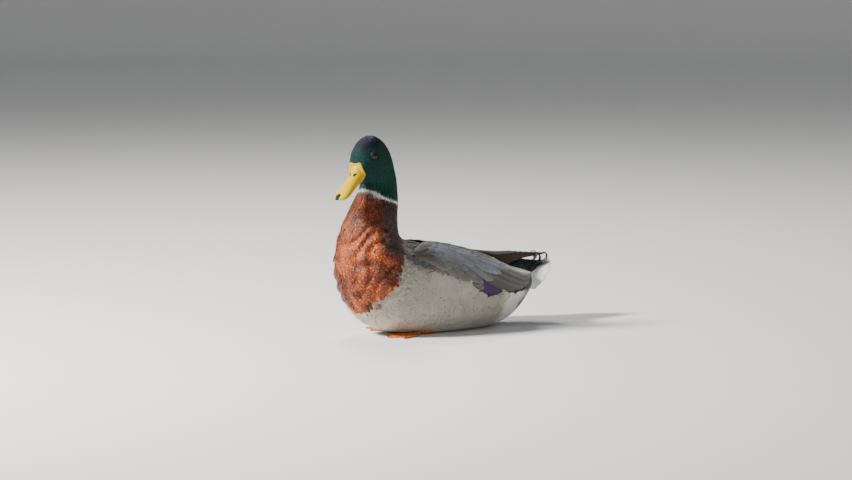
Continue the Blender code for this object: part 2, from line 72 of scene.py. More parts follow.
# Each section holds its top point (f, z), its underside point (f, z), half its width, how high the
# widest level is, its squareness, its share of the head's turn and how much it narrows upwards.
STATIONS = [
    ((-134, 70), (-139, 46), 17, 0.50, 2.0, 0.0, 0.0),
    ((-120, 72), (-121, 32), 30, 0.50, 2.0, 0.0, 0.0),
    ((-100, 75), (-96, 14), 43, 0.50, 2.1, 0.0, 0.0),
    ((-75, 81), (-70, 2), 54, 0.48, 2.2, 0.0, 0.0),
    ((-46, 91), (-36, -3), 61.5, 0.46, 2.3, 0.0, 0.0),
    ((-10, 103), (-5, -4), 65, 0.45, 2.3, 0.0, 0.0),
    ((26, 112), (38, -4), 65.5, 0.45, 2.3, 0.0, 0.0),
    ((56, 119), (76, -1), 62, 0.45, 2.25, 0.0, 0.0),
    ((76, 123.5), (110, 4.5), 57.5, 0.46, 2.2, 0.0, 0.05),
    ((86, 127), (135, 14), 54.5, 0.47, 2.15, 0.0, 0.15),
    ((90, 130.5), (156, 32), 52.5, 0.48, 2.1, 0.0, 0.30),
    ((92, 134), (172.5, 58), 50.5, 0.48, 2.1, 0.02, 0.38),
    ((93.5, 139), (179, 85), 47.5, 0.48, 2.05, 0.05, 0.38),
    ((93.8, 145.5), (181, 112), 42.5, 0.48, 2.0, 0.10, 0.34),
    ((93.5, 152.5), (176.5, 139), 35.5, 0.49, 2.0, 0.20, 0.24),
    ((93, 161), (166, 165), 29, 0.50, 2.0, 0.32, 0.12),
    ((92, 174), (150.5, 190), 25, 0.50, 2.0, 0.45, 0.05),
    ((92.7, 190), (147, 197), 23.6, 0.50, 2.0, 0.65, 0.04),
    ((94.5, 207), (146, 201), 23.0, 0.50, 2.0, 0.85, 0.04),
    ((98.8, 222), (147, 203), 22.5, 0.50, 2.05, 1.0, 0.05),
    ((103.5, 236.5), (148.5, 203.5), 21.9, 0.50, 2.1, 1.0, 0.06),
    ((111, 249.5), (150.5, 204), 21.4, 0.50, 2.15, 1.0, 0.06),
    ((123, 260), (153, 205), 20.8, 0.49, 2.2, 1.0, 0.06),
    ((138, 265), (155.5, 206.5), 19.9, 0.48, 2.2, 1.0, 0.06),
    ((152.5, 259.5), (158, 208), 18.0, 0.47, 2.2, 1.0, 0.04),
    ((163.5, 246.5), (160.5, 210), 14.6, 0.46, 2.15, 1.0, 0.0),
    ((170, 231.5), (163, 213.5), 11.0, 0.45, 2.1, 1.0, 0.0),
]
LAST = len(STATIONS) - 1
COLLAR = 16.43  # the section at which the green of the neck ends in front

# The shell of the folded wings: f, its middle's height, half width and half height.
WING_SHELL = [
    (88, 70, 54, 51),
    (62, 67, 65, 55),
    (25, 63, 69.5, 54),
    (-15, 59, 70, 49),
    (-55, 55, 66.5, 39),
    (-90, 51, 57, 30),
    (-122, 49, 44, 24),
]
WING_SQUARENESS = 2.25
WING_HEIGHT = 62.0  # from its upper edge to its lower edge, over the shell
# Its upper and lower edges: f, degrees down the shell from the back's middle line.
WING_UPPER = [(82, 38), (60, 22), (40, 13), (0, 13), (-70, 18), (-118, 32)]
WING_LOWER = [(82, 52), (60, 70), (34, 81), (0, 92), (-34, 101), (-88, 97), (-118, 52)]
# The ridge of the primaries: f, the upper edge's distance from the middle and z, the lower edge's.
PRIMARIES = [
    (-12, 1.3, 101.5, 12, 99.5),
    (-32, 1.3, 102, 15, 98),
    (-60, 1.3, 99, 19, 88),
    (-76, 1.3, 97, 23, 82),
    (-100, 1.3, 95, 18, 85.5),
    (-120, 1.3, 93.8, 12.5, 87.5),
    (-140, 1.3, 92.5, 8.5, 88.5),
    (-158, 1.3, 91.5, 5.8, 89),
    (-173, 1.3, 91, 4, 89.4),
]
# The arch of coverts between rump and primaries: f, half width, z of its edges, z of its top.
ARCH = [
    (-70, 17, 80, 85),
    (-90, 18, 74, 84.5),
    (-115, 17.5, 68, 84.5),
    (-132, 15, 67, 83),
    (-148, 12, 71, 80.5),
    (-162, 8, 76, 79),
]
TAIL_ROOT = (-100.0, 63.0)
TAIL_LENGTH = 76.0
TAIL_SPREAD = math.radians(46.0)
TAIL_RISE = math.radians(13.0)
TAIL_DROOP = 0.58
TAIL_SHORTER = 0.44

# The bill in the head's own frame: forward of and above the head's centre.
CULMEN = [(26.8, 10.4), (32.2, 6.9), (38.6, 3.1), (45.9, 0.0), (54.0, -2.4)]
CULMEN += [(63.0, -4.3), (72.5, -5.8), (79.6, -6.8), (85.0, -9.4)]
MOUTH = [(25.4, -6.3), (31.5, -7.4), (39.6, -8.5), (47.8, -9.7), (56.0, -11.0)]
MOUTH += [(65.0, -11.9), (73.0, -11.9), (80.0, -11.0), (84.0, -10.4)]
JAW = [(26.0, -13.7), (32.0, -14.7), (40.0, -15.0), (48.0, -15.3), (56.0, -15.5)]
JAW += [(65.4, -15.6), (73.3, -15.0), (79.3, -13.9), (82.6, -12.0)]
BILL_HALF_WIDTHS = [10.4, 10.2, 9.8, 9.4, 9.5, 10.4, 11.2, 9.6, 3.4]
JAW_INSET = 1.3

FOOT_HEELS = {1: (74.0, 34.0), -1: (44.0, 42.0)}
TOES = [(-30.0, 45.0), (-2.0, 56.0), (24.0, 50.0)]  # degrees outward, length
WEB_THICKNESS = 1.5
TOE_HEIGHT = 3.4

# ---- how deep the skin lies below the tips of the coat, and how far apart feathers root ----
HEAD_DEPTH = 1.3
BODY_DEPTH = 2.6
SPACING_PLACES = [0, 5, 9, 12, 14, 16, 18, 20, 23, 26]
SPACING = [4.2, 4.8, 4.5, 3.5, 2.8, 1.9, 1.6, 1.4, 1.15, 0.95]
EYE_HOLLOW, EYE_CLEAR = 1.5, 5.0  # how deep the skin is hollowed at an eye, and the coat's way round it
HALF_PATCH = 0.0015  # half the side of one feather's patch on the map OFBake

# ---- colours of the plumage ----
# the head's green, with its sheen painted in as fixed colours: teal towards the bill and purple-black over
# the crown
GREEN, TEAL_SHEEN, CROWN_PURPLE_SHEEN = (0.007, 0.060, 0.038), (0.008, 0.062, 0.050), (0.008, 0.007, 0.016)
WHITE, BLACK = (0.80, 0.79, 0.76), (0.010, 0.011, 0.014)
# the breast's fringe is far brighter than its feathers: partly their warmer tips, partly painted highlight
CHESTNUT, CHESTNUT_TIP_AND_HIGHLIGHT = (0.130, 0.020, 0.003), (0.45, 0.112, 0.016)
MAROON, MAROON_TIP = (0.085, 0.016, 0.004), (0.20, 0.048, 0.014)
# the back of the neck: its own dull brown, much darkened by painted shade
NAPE_AND_SHADE, NAPE_TIP_AND_SHADE = (0.024, 0.016, 0.012), (0.045, 0.027, 0.018)
# the flank's fringe is paler than its feathers: partly their own edges, partly painted light to offset the
# shade under their tips
FLANK, FLANK_TIP_AND_FILL_LIGHT = (0.37, 0.337, 0.288), (0.52, 0.475, 0.405)
BELLY = (0.52, 0.472, 0.395)
MANTLE, MANTLE_TIP = (0.085, 0.064, 0.050), (0.13, 0.103, 0.082)
BACK_DARK, BACK_DARK_TIP = (0.016, 0.014, 0.013), (0.035, 0.031, 0.028)
SCAPULAR, SCAPULAR_TIP = (0.200, 0.220, 0.250), (0.27, 0.29, 0.32)
COVERT, COVERT_TIP = (0.098, 0.093, 0.084), (0.145, 0.142, 0.144)
TERTIAL, TERTIAL_EDGE = (0.165, 0.160, 0.150), (0.26, 0.25, 0.245)
TERTIAL_DARK, TERTIAL_PALE = (0.056, 0.048, 0.039), (0.42, 0.41, 0.40)
SPECULUM = (0.040, 0.022, 0.072)
FLIGHT, FLIGHT_EDGE = (0.045, 0.028, 0.020), (0.10, 0.070, 0.050)
# the tail's white is brighter than the other whites: its own white with painted light
TAIL_WHITE_WITH_LIGHT, TAIL_TIP_WHITE_WITH_LIGHT = (0.9, 0.9, 0.88), (0.92, 0.92, 0.9)
TAIL_GREY, TAIL_GREY_TIP = (0.20, 0.17, 0.145), (0.5, 0.47, 0.43)


# ------------------------------------------------------------------ curves and surfaces
def spline(points, where):
    """Catmull-Rom through points, one row each, at the places where, from 0 to len - 1."""
    p = np.asarray(points, float)
    p = p.reshape(len(p), -1)
    ends = np.vstack([2 * p[0] - p[1], p, 2 * p[-1] - p[-2]])
    t = np.clip(np.atleast_1d(np.asarray(where, float)), 0, len(p) - 1)
    i = np.minimum(t.astype(int), len(p) - 2)
    u = (t - i)[:, None]
    a, b, c, d = ends[i], ends[i + 1], ends[i + 2], ends[i + 3]
    cubic = 3 * (b - c) + d - a
    return 0.5 * (2 * b + (c - a) * u + (2 * a - 5 * b + 4 * c - d) * u**2 + cubic * u**3)


def smooth_step(x):
    x = np.clip(x, 0, 1)
    return x * x * (3 - 2 * x)


def table(points, samples=4001):
    """A curve's rows read at even steps, so that many places can be looked up at once."""
    last = len(points) - 1
    return last, spline(points, np.linspace(0, last, samples)).T.copy()


def look_up(fine, where):
    last, rows = fine
    step = np.clip(np.asarray(where, float) / last, 0, 1) * (rows.shape[1] - 1)
    i = np.minimum(step.astype(int), rows.shape[1] - 2)
    return rows[:, i] + (rows[:, i + 1] - rows[:, i]) * (step - i)


BODY_TABLE = table([(*top, *under, *rest) for top, under, *rest in STATIONS])
SHELL_TABLE = table([row[1:] for row in WING_SHELL])
RIDGE_TABLE = table([row[1:] for row in PRIMARIES])
ARCH_TABLE = table([row[1:] for row in ARCH])


def along(rows, f):
    """The place among rows, which run from front to back, at f."""
    fs = np.array([row[0] for row in rows], float)
    return np.interp(-np.asarray(f, float), -fs, np.arange(len(rows)))


def on_side(f, across, z):
    return np.stack(np.broadcast_arrays(across, MID - f, z), axis=-1).astype(float)


def turned(points, share):
    """Points turned about the neck's upright line by a share of the head's turn."""
    angle = share * HEAD_YAW
    pivot = on_side(NECK_AXIS, 0.0, 0.0)
    p = points - pivot
    c, s = np.cos(angle), np.sin(angle)
    x = p[..., 0] * c - p[..., 1] * s
    y = p[..., 0] * s + p[..., 1] * c
    return np.stack([x, y, p[..., 2]], axis=-1) + pivot


def in_head(forward, across, up):
    """A point of the head's own frame, in the model's frame."""
    forward, across, up = np.broadcast_arrays(forward, across, up)
    f = HEAD_CENTRE[0] + forward * math.cos(HEAD_PITCH) + up * math.sin(HEAD_PITCH)
    z = HEAD_CENTRE[1] - forward * math.sin(HEAD_PITCH) + up * math.cos(HEAD_PITCH)
    return turned(on_side(f, across, z), 1.0)


def from_head(points):
    """Forward, across and up in the head's own frame of points of the model."""
    p = turned(points, -1.0)
    f, z = MID - p[..., 1] - HEAD_CENTRE[0], p[..., 2] - HEAD_CENTRE[1]
    c, s = math.cos(HEAD_PITCH), math.sin(HEAD_PITCH)
    return f * c - z * s, p[..., 0], f * s + z * c


def rounded(angle, squareness):
    """Up and sideways shares of a section's outline, at an angle from its top."""
    c, s = np.cos(angle), np.sin(angle)
    reach = (np.abs(c) ** squareness + np.abs(s) ** squareness) ** (-1 / squareness)
    return reach * c, reach * s


def body(place, angle, lift=0.0):
    """The coat's outer surface: a place along the sections, an angle from the back, a lift off it."""
    top_f, top_z, under_f, under_z, half, level, square, turn, pinch = look_up(BODY_TABLE, place)
    up, side = rounded(angle, square)
    height = np.hypot(top_f - under_f, top_z - under_z)
    tall = np.where(up > 0, 1 - level, level) * height + lift
    share = level + tall * up / height
    f = under_f + (top_f - under_f) * share
    z = under_z + (top_z - under_z) * share
    half = half * (1 - pinch * np.maximum(up, 0.0) ** 1.5) + lift
    points = turned(on_side(f, half * side, z), turn)
    points[..., 2] = np.maximum(points[..., 2], FLOOR_GAP - np.minimum(lift, 0.0))
    return points


def shell(f, angle, lift=0.0):
    """The wings' shell, at an angle from the back's middle line, to the left for a positive one."""
    middle, half, high = look_up(SHELL_TABLE, along(WING_SHELL, f))
    up, side = rounded(angle, WING_SQUARENESS)
    return on_side(f, (half + lift) * side, middle + (high + lift) * up)


def shell_angle(degrees):
    """The shell's angle for a number of degrees as the wing's edges give them."""
    s, c = math.sin(math.radians(degrees)), math.cos(math.radians(degrees))
    power = 2 / WING_SQUARENESS
    return math.atan2(abs(s) ** power, math.copysign(abs(c) ** power, c))


UPPER_TABLE = table([(shell_angle(degrees),) for _, degrees in WING_UPPER])
LOWER_TABLE = table([(shell_angle(degrees),) for _, degrees in WING_LOWER])


def wing_edges(f):
    """The shell's angles at the wing's upper and lower edges."""
    return look_up(UPPER_TABLE, along(WING_UPPER, f))[0], look_up(LOWER_TABLE, along(WING_LOWER, f))[0]


def wing(side, f, down, lift=0.0):
    """One wing's outer face: down is 0 at its upper edge and 1 at its lower edge."""
    upper, lower = wing_edges(f)
    return shell(f, side * (upper + (lower - upper) * down), lift)


def ridge(side, f, down, lift=0.0):
    """One side of the ridge of closed primaries over the rump."""
    high_x, high_z, low_x, low_z = look_up(RIDGE_TABLE, along(PRIMARIES, f))
    bulge = 2.0 * np.sin(math.pi * np.clip(down, 0, 1)) * np.minimum(1, low_x / 20)
    across = high_x + (low_x - high_x) * down + 0.6 * (bulge + lift)
    z = high_z + (low_z - high_z) * down + bulge + lift
    return on_side(f, side * across, z)


def arch(f, share, lift=0.0):
    """The coverts under the primaries: f, and a share of the arch's half width to the left."""
    half, edge, top = look_up(ARCH_TABLE, along(ARCH, f))
    return on_side(f, (half + lift) * share, edge + (top - edge) * (1 - share**2) + lift)


def fan(inward, angle, lift=0.0):
    """The tail: minus the distance from its root, and an angle to the left."""
    radius, share = -inward, angle / TAIL_SPREAD
    f = TAIL_ROOT[0] - radius * np.cos(angle)
    z = TAIL_ROOT[1] + radius * math.sin(TAIL_RISE) - TAIL_DROOP * radius * share**2 + lift
    return on_side(f, radius * np.sin(angle), z)


def under_tail(inward, angle, lift=0.0):
    """The underside of the deep wedge of coverts under the tail."""
    round_off = 1 - np.minimum(np.abs(angle) / (0.8 * TAIL_SPREAD), 1.0) ** 2
    deep = np.interp(-inward, [12, 30, 44, 58, 70], [32.0, 31.0, 24.0, 11.0, 0.4])
    points = fan(inward, angle)
    points[..., 2] -= 0.8 + deep * round_off + lift
    return points


def on_shell(points):
    """Where points lie by the wings' shell: how far out (1 on it), their angle, the wing's two edges
    there, the shell's middle height and f."""
    f, x, z = MID - points[..., 1], points[..., 0], points[..., 2]
    middle, half, high = look_up(SHELL_TABLE, along(WING_SHELL, f))
    across, up = np.abs(x) / half, (z - middle) / high
    reach = (across**WING_SQUARENESS + np.abs(up) ** WING_SQUARENESS) ** (1 / WING_SQUARENESS)
    return np.maximum(reach, 0.2), np.arctan2(across, up), *wing_edges(f), middle, f


def wing_share(points, shown=False):
    """Where points lie on the wing's own area, 0 to 1, or on all of it shown below its edge."""
    _, angle, upper, lower, _, f = on_shell(points)
    if shown:
        lower = lower + math.radians(6) * smooth_step((18 - f) / 10) * smooth_step((f + 44) / 10)
    soft = math.radians(5)
    inside = smooth_step((angle - upper) / soft) * smooth_step((lower - angle) / soft)
    return inside * smooth_step((80 - f) / 8) * smooth_step((f + 116) / 8)


def swollen(points, scale, middle):
    points = points.copy()
    points[..., 0] *= scale
    points[..., 2] = np.maximum(middle + (points[..., 2] - middle) * scale, FLOOR_GAP)
    return points


def drape(points):
    """How far the flank swells, as a scale, to lie on the lower edge of the folded wing."""
    reach, angle, _, lower, middle, f = on_shell(points)
    below = smooth_step((lower + math.radians(34) - angle) / math.radians(30))
    above = smooth_step((angle - lower + math.radians(16)) / math.radians(8))
    share = below * above * smooth_step((80 - f) / 12) * smooth_step((f + 116) / 26)
    return 1 + share * np.maximum(1.010 / reach - 1, 0), middle


def draped(place, angle, lift=0.0):
    """The body's outer surface with its flanks laid over the wings' lower edges."""
    return swollen(body(place, angle, lift), *drape(body(place, angle)))


def centred(angle):
    """An angle from the back, from -pi to pi."""
    return (angle + math.pi) % TURN - math.pi


def fluffed(place, angle, lift=0.0):
    """The body's outer surface, raised here and there where the breast's feathers are ruffled."""
    clumps = np.sin(4.6 * place + 1.6 * np.sin(5 * angle + 0.6))
    clumps = clumps * np.sin(9 * angle + 2.2 * np.sin(2.3 * place))
    under = np.abs(centred(angle)) / math.pi
    ripple = 2.3 * clumps * smooth_step((under - 0.35) / 0.2)
    ripple = ripple * smooth_step((place - 9.0) / 1.2) * smooth_step((15.0 - place) / 1.5)
    return body(place, angle, lift + ripple)


# ------------------------------------------------------------------ meshes
def show(name, data):
    """Puts a mesh, a light or a camera in the scene."""
    obj = bpy.data.objects.new(name, data)
    bpy.context.scene.collection.objects.link(obj)
    return obj


def make_object(mesh, material, replaces=()):
    """Puts a mesh in the scene under its own name, on the body, in a slot."""
    obj = show(mesh.name, mesh)
    mesh.materials.append(material)
    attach(obj, BODY)
    if replaces:
        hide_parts(*replaces)


def fill_mesh(name, points, loops, starts, smooth):
    """A mesh from arrays: points, each face's corners, where each face starts."""
    mesh = bpy.data.meshes.new(name)
    mesh.vertices.add(len(points))
    mesh.vertices.foreach_set("co", (np.asarray(points) * MM).astype(np.float32).ravel())
    mesh.loops.add(len(loops))
    mesh.loops.foreach_set("vertex_index", np.asarray(loops, np.int32))
    mesh.polygons.add(len(starts))
    mesh.polygons.foreach_set("loop_start", np.asarray(starts, np.int32))
    mesh.polygons.foreach_set("use_smooth", np.asarray(smooth, bool))
    mesh.update(calc_edges=True)
    mesh.validate()
    return mesh


def add_attribute(mesh, name, values):
    attribute = mesh.attributes.new(name, "FLOAT_VECTOR", "POINT")
    attribute.data.foreach_set("vector", np.asarray(values, np.float32).ravel())


def grid_faces(rows, columns, wrap=False):
    """Quads over a grid of points, joined round into a tube if wrap."""
    return [
        (i * columns + j, i * columns + k, (i + 1) * columns + k, (i + 1) * columns + j)
        for i in range(rows - 1)
        for j, k in ((j, (j + 1) % columns) for j in range(columns if wrap else columns - 1))
    ]


def face_mesh(name, points, faces, outward=True):
    """A smooth mesh from a list of faces, turned outwards where it is closed."""
    mesh = bpy.data.meshes.new(name)
    mesh.from_pydata([tuple(p) for p in np.asarray(points).reshape(-1, 3) * MM], [], faces)
    if outward:
        work = bmesh.new()
        work.from_mesh(mesh)
        bmesh.ops.recalc_face_normals(work, faces=work.faces)
        work.to_mesh(mesh)
        work.free()
    mesh.shade_smooth()
    return mesh


def tube(name, rings):
    """A closed mesh from rings of points, flat at both ends."""
    rows, columns = np.shape(rings)[:2]
    faces = grid_faces(rows, columns, True)
    faces += [tuple(range(columns)), tuple(range((rows - 1) * columns, rows * columns))]
    return face_mesh(name, rings, faces)


# ------------------------------------------------------------------ vanes: feathers as closed thin leaves
VANE_DATA = ("tint", "fringe", "marks")


class Vanes:
    """Many feathers of one kind: their grids of points and what the plumage shader reads."""

    def __init__(self, points, s, t, roots, length, rng):
        self.points, self.s, self.t, self.roots, self.length = points, s, t, roots, length
        self.tips = self.places = roots
        self.count, self.rows, self.columns = points.shape[:3]
        self.chance = rng.random(self.count)
        self.tint, self.fringe, self.marks = np.zeros((3, *points.shape[:3], 3))

    def paint(self, tint, fringe, bars=0.0, rim=0.2):
        """Sets the colour, the fringe's colour, how strong the fine bars are and the fringe's width."""
        self.tint[:] = self.spread(tint, 3)
        self.fringe[:] = self.spread(fringe, 3)
        for i, value in enumerate((bars, rim, self.length)):
            self.marks[..., i] = self.spread(value, 1)[..., 0]
        return self

    def spread(self, value, width):
        """A value for all feathers, for each one, or for each point, at each point."""
        value = np.asarray(value, float)
        if value.ndim == 4:
            return value
        if value.shape == self.s.shape:
            return value[..., None]
        if value.ndim == (2 if width == 3 else 1):
            value = value.reshape(self.count, 1, 1, -1)
        return np.broadcast_to(value, (self.count, self.rows, self.columns, width))

    def band(self, at, soft, colour):
        """Colours each blade across from a share of its length on."""
        share = smooth_step((self.s - at) / soft)
        self.tint, self.fringe = blend(self.tint, colour, share), blend(self.fringe, colour, share)

    def choose(self, keep):
        """A copy with some of the feathers."""
        part = Vanes.__new__(Vanes)
        part.__dict__.update(self.__dict__, count=int(keep.sum()))
        for key in ("points", "s", "t", "roots", "tips", "places", "length", "chance", *VANE_DATA):
            setattr(part, key, getattr(self, key)[keep])
        return part

    def on(self, side):
        """A copy with the feathers rooted on one side."""
        return self.choose(self.points[:, 0, 0, 0] * side > 0)


def blend(a, b, share):
    share = np.asarray(share, float)[..., None]
    return np.asarray(a, float) * (1 - share) + np.asarray(b, float) * share


def each(values):
    """One value for each feather, ready to spread over its grid."""
    return np.asarray(values, float)[:, None, None]


def pairs(p, q):
    """Places (p, q), one for each feather."""
    return np.stack(np.broadcast_arrays(p, q), axis=1).astype(float)


def staggered(rows, count):
    """Each row's value with count steps along it, half a step on in every other row."""
    return [(row, j + 0.5 * (i % 2)) for i, row in enumerate(rows) for j in range(count)]


SHAFTED = {9: [0.07, 0.36, 0.7, 1.0], 7: [0.09, 0.5, 1.0]}  # half a blade's columns beside its shaft


def leaf(count, rows, columns, blunt, shafted=False):
    """The even grids of feathers' blades: s from root to tip and t from edge to edge."""
    if shafted:
        half = np.array(SHAFTED[columns])
        t = np.concatenate([-half[::-1], [0.0], half])
    else:
        t = np.linspace(-1, 1, columns)
    s = np.linspace(0, 1, rows) ** 0.92
    reach = 1 - blunt * np.abs(t) ** 2.3
    return np.repeat((s[:, None] * reach)[None], count, 0), np.tile(t, (count, rows, 1))


def blade_width(s, root=0.42, tip=0.92):
    """The share of its full width that a blade has at s."""
    return root + (1 - root) * smooth_step(s / 0.5) - (1 - tip) * smooth_step((s - 0.7) / 0.3)


def finish_vanes(surface, p, q, lift, s, t, roots, length, rng):
    """Vanes on a surface, turned over if their faces point into it."""
    points = surface(p, q, lift)
    across = points[:, 1:, 1:] - points[:, 1:, :-1]
    ahead = points[:, 1:, 1:] - points[:, :-1, 1:]
    outward = (surface(p, q, lift + 1.0) - points)[:, 1:, 1:]
    if (np.cross(across, ahead) * outward).sum() <= 0:
        points, s, t = points[:, :, ::-1], s[:, :, ::-1], t[:, :, ::-1]
    return Vanes(points, s, t, roots, length, rng)


def metric(surface, p, q, step_p, step_q):
    """The surface's two tangents at (p, q), in millimetres for each unit of p and of q."""
    by_p = (surface(p + step_p, q) - surface(p - step_p, q)) / (2 * step_p)
    by_q = (surface(p, q + step_q) - surface(p, q - step_q)) / (2 * step_q)
    return by_p, by_q


def tufts(surface, p, q, lie, length, width, depth, rows, columns, rng, rise, crown, ragged, dip):
    """Small feathers with their roots at (p, q). Each lies towards falling p, turned by lie, from
    depth below the surface at its root to rise above it, and dip takes its tip down again."""
    by_p, by_q = metric(surface, p, q, 0.02, 0.02)
    back = -by_p / np.linalg.norm(by_p, axis=1)[:, None]
    aside = by_q - (by_q * back).sum(1)[:, None] * back
    aside /= np.maximum(np.linalg.norm(aside, axis=1), 1e-6)[:, None]
    ahead = np.cos(lie)[:, None] * back + np.sin(lie)[:, None] * aside
    beside = -np.sin(lie)[:, None] * back + np.cos(lie)[:, None] * aside
    pp, pq, qq = (by_p**2).sum(1), (by_p * by_q).sum(1), (by_q**2).sum(1)
    area = np.maximum(pp * qq - pq * pq, 1e-9)

    def rates(direction):
        along_p, along_q = (direction * by_p).sum(1), (direction * by_q).sum(1)
        return each((qq * along_p - pq * along_q) / area), each((pp * along_q - pq * along_p) / area)

    s, t = leaf(len(p), rows, columns, 0.3)
    s = s * (1 + ragged * rng.standard_normal((len(p), 1, columns)) * (s > 0.9))
    run = s * each(length)
    half = t * 0.5 * each(width) * blade_width(s)
    (ahead_p, ahead_q), (beside_p, beside_q) = rates(ahead), rates(beside)
    grid_p = each(p) + run * ahead_p + half * beside_p
    grid_q = each(q) + run * ahead_q + half * beside_q
    tip = rise * each(0.3 + 0.7 * rng.random(len(p)))
    crown = crown * each(width) * (1 - t * t) * np.sqrt(np.clip(s, 0, 1) + 0.15)
    lift = -depth + (depth + tip) * np.clip(s, 0, 1) ** 0.75 + crown - (0.3 * tip + dip) * s**5
    vanes = finish_vanes(surface, grid_p, grid_q, lift, s, t, pairs(p, q), length, rng)
    middle = columns // 2
    vanes.tips = pairs(grid_p[:, -2, middle], grid_q[:, -2, middle] % TURN)
    vanes.places = np.stack([grid_p, grid_q], axis=-1)
    return vanes


def plumes(surface, start, end, width, low, high, rows, columns, rng, blunt=0.16, bow=0.0, root_width=0.55,
           tip_width=0.85, crown=0.05, shaft=0.22):
    """Large feathers from start (p, q) to end (p, q), width wide, lifted from low to high, with a
    bow sideways and a raised shaft."""
    count = len(start)
    width, low, high = (each(np.broadcast_to(value, count)) for value in (width, low, high))
    s, t = leaf(count, rows, columns, blunt, True)
    s = s * (1 + 0.012 * rng.standard_normal((count, 1, columns)) * (s > 0.9))
    p = each(start[:, 0]) + each((end - start)[:, 0]) * s
    q = each(start[:, 1]) + each((end - start)[:, 1]) * s
    q = q + bow * np.sin(math.pi * s)
    by_q = metric(surface, p, q, 0.5, 0.01)[1]
    rate = 1 / np.maximum(np.linalg.norm(by_q, axis=-1), 1e-3)
    q = q + t * 0.5 * width * blade_width(s, root_width, tip_width) * rate
    rise = low + (high - low) * s**0.8 + crown * width * (1 - t * t)
    rise = rise + shaft * np.exp(-((t / 0.05) ** 2)) * (1 - 0.8 * s)
    length = np.linalg.norm(surface(*start.T) - surface(*end.T), axis=1)
    return finish_vanes(surface, p, q, rise, s, t, start, length, rng)


def leaf_template(rows, columns):
    """The faces of one closed leaf, and for each whether it is smooth."""
    smooth = grid_faces(rows, columns)
    corners = [i * columns for i in range(rows + 1)]
    flat = [(a, b, c - 1, b - 1) for a, b, c in zip(corners, corners[1:], corners[2:])]
    flat.append((0, *range(columns - 1, 0, -1)))
    flat.append(tuple(range((rows - 1) * columns, rows * columns)))
    return smooth + flat, [True] * len(smooth) + [False] * len(flat)


def coat(name, groups, material, unwrap, replaces=()):
    """One piece of the coat from groups of vanes. unwrap gives each root's place on the skin, 0 to 1."""
    found = {key: [] for key in ("points", "loops", "starts", "smooth", "uv", "vane", *VANE_DATA)}
    vertex_at = loop_at = 0
    for v in groups:
        faces, smooth = leaf_template(v.rows, v.columns)
        corner = np.concatenate(faces)
        start = np.cumsum([0] + [len(face) for face in faces[:-1]])
        nth = np.arange(v.count)[:, None]
        size = v.rows * v.columns
        patch = HALF_PATCH * np.stack([v.t, 2 * v.s - 1], axis=-1)
        chance = np.broadcast_to(each(v.chance), v.s.shape)
        found["points"].append(v.points.reshape(-1, 3))
        found["loops"].append((corner + nth * size + vertex_at).ravel())
        found["starts"].append((start + nth * len(corner) + loop_at).ravel())
        found["smooth"].append(np.tile(smooth, v.count))
        found["uv"].append((unwrap(v.roots)[:, None, None, :] + patch).reshape(-1, 2))
        found["vane"].append(np.stack([v.t, v.s, chance], axis=-1).reshape(-1, 3))
        for key in VANE_DATA:
            found[key].append(getattr(v, key).reshape(-1, 3))
        vertex_at += v.count * size
        loop_at += v.count * len(corner)
    found = {key: np.concatenate(values) for key, values in found.items()}
    mesh = fill_mesh(name, *(found[key] for key in ("points", "loops", "starts", "smooth")))
    for key in (*VANE_DATA, "vane"):
        add_attribute(mesh, key, found[key])
    layer = mesh.uv_layers.new(name="OFBake")
    layer.uv.foreach_set("vector", found["uv"][found["loops"]].astype(np.float32).ravel())
    make_object(mesh, material, replaces)


def body_unwrap(roots):
    return np.stack([0.01 + 0.98 * ((roots[:, 1] / TURN) % 1.0), 0.01 + 0.98 * roots[:, 0] / LAST], axis=1)


def wing_unwrap(roots):
    across = 0.5 + 0.45 * np.clip(roots[:, 1], -1, 1)
    return np.stack([across, 0.05 + 0.9 * (roots[:, 0] + 180) / 280], axis=1)


def arch_unwrap(roots):
    return np.stack([0.5 + 0.45 * roots[:, 1], 0.05 + 0.9 * (roots[:, 0] + 170) / 100], axis=1)


def fan_unwrap(roots):
    return np.stack([0.5 + 0.7 * roots[:, 1], 0.05 + 0.9 * (-roots[:, 0] / 100)], axis=1)


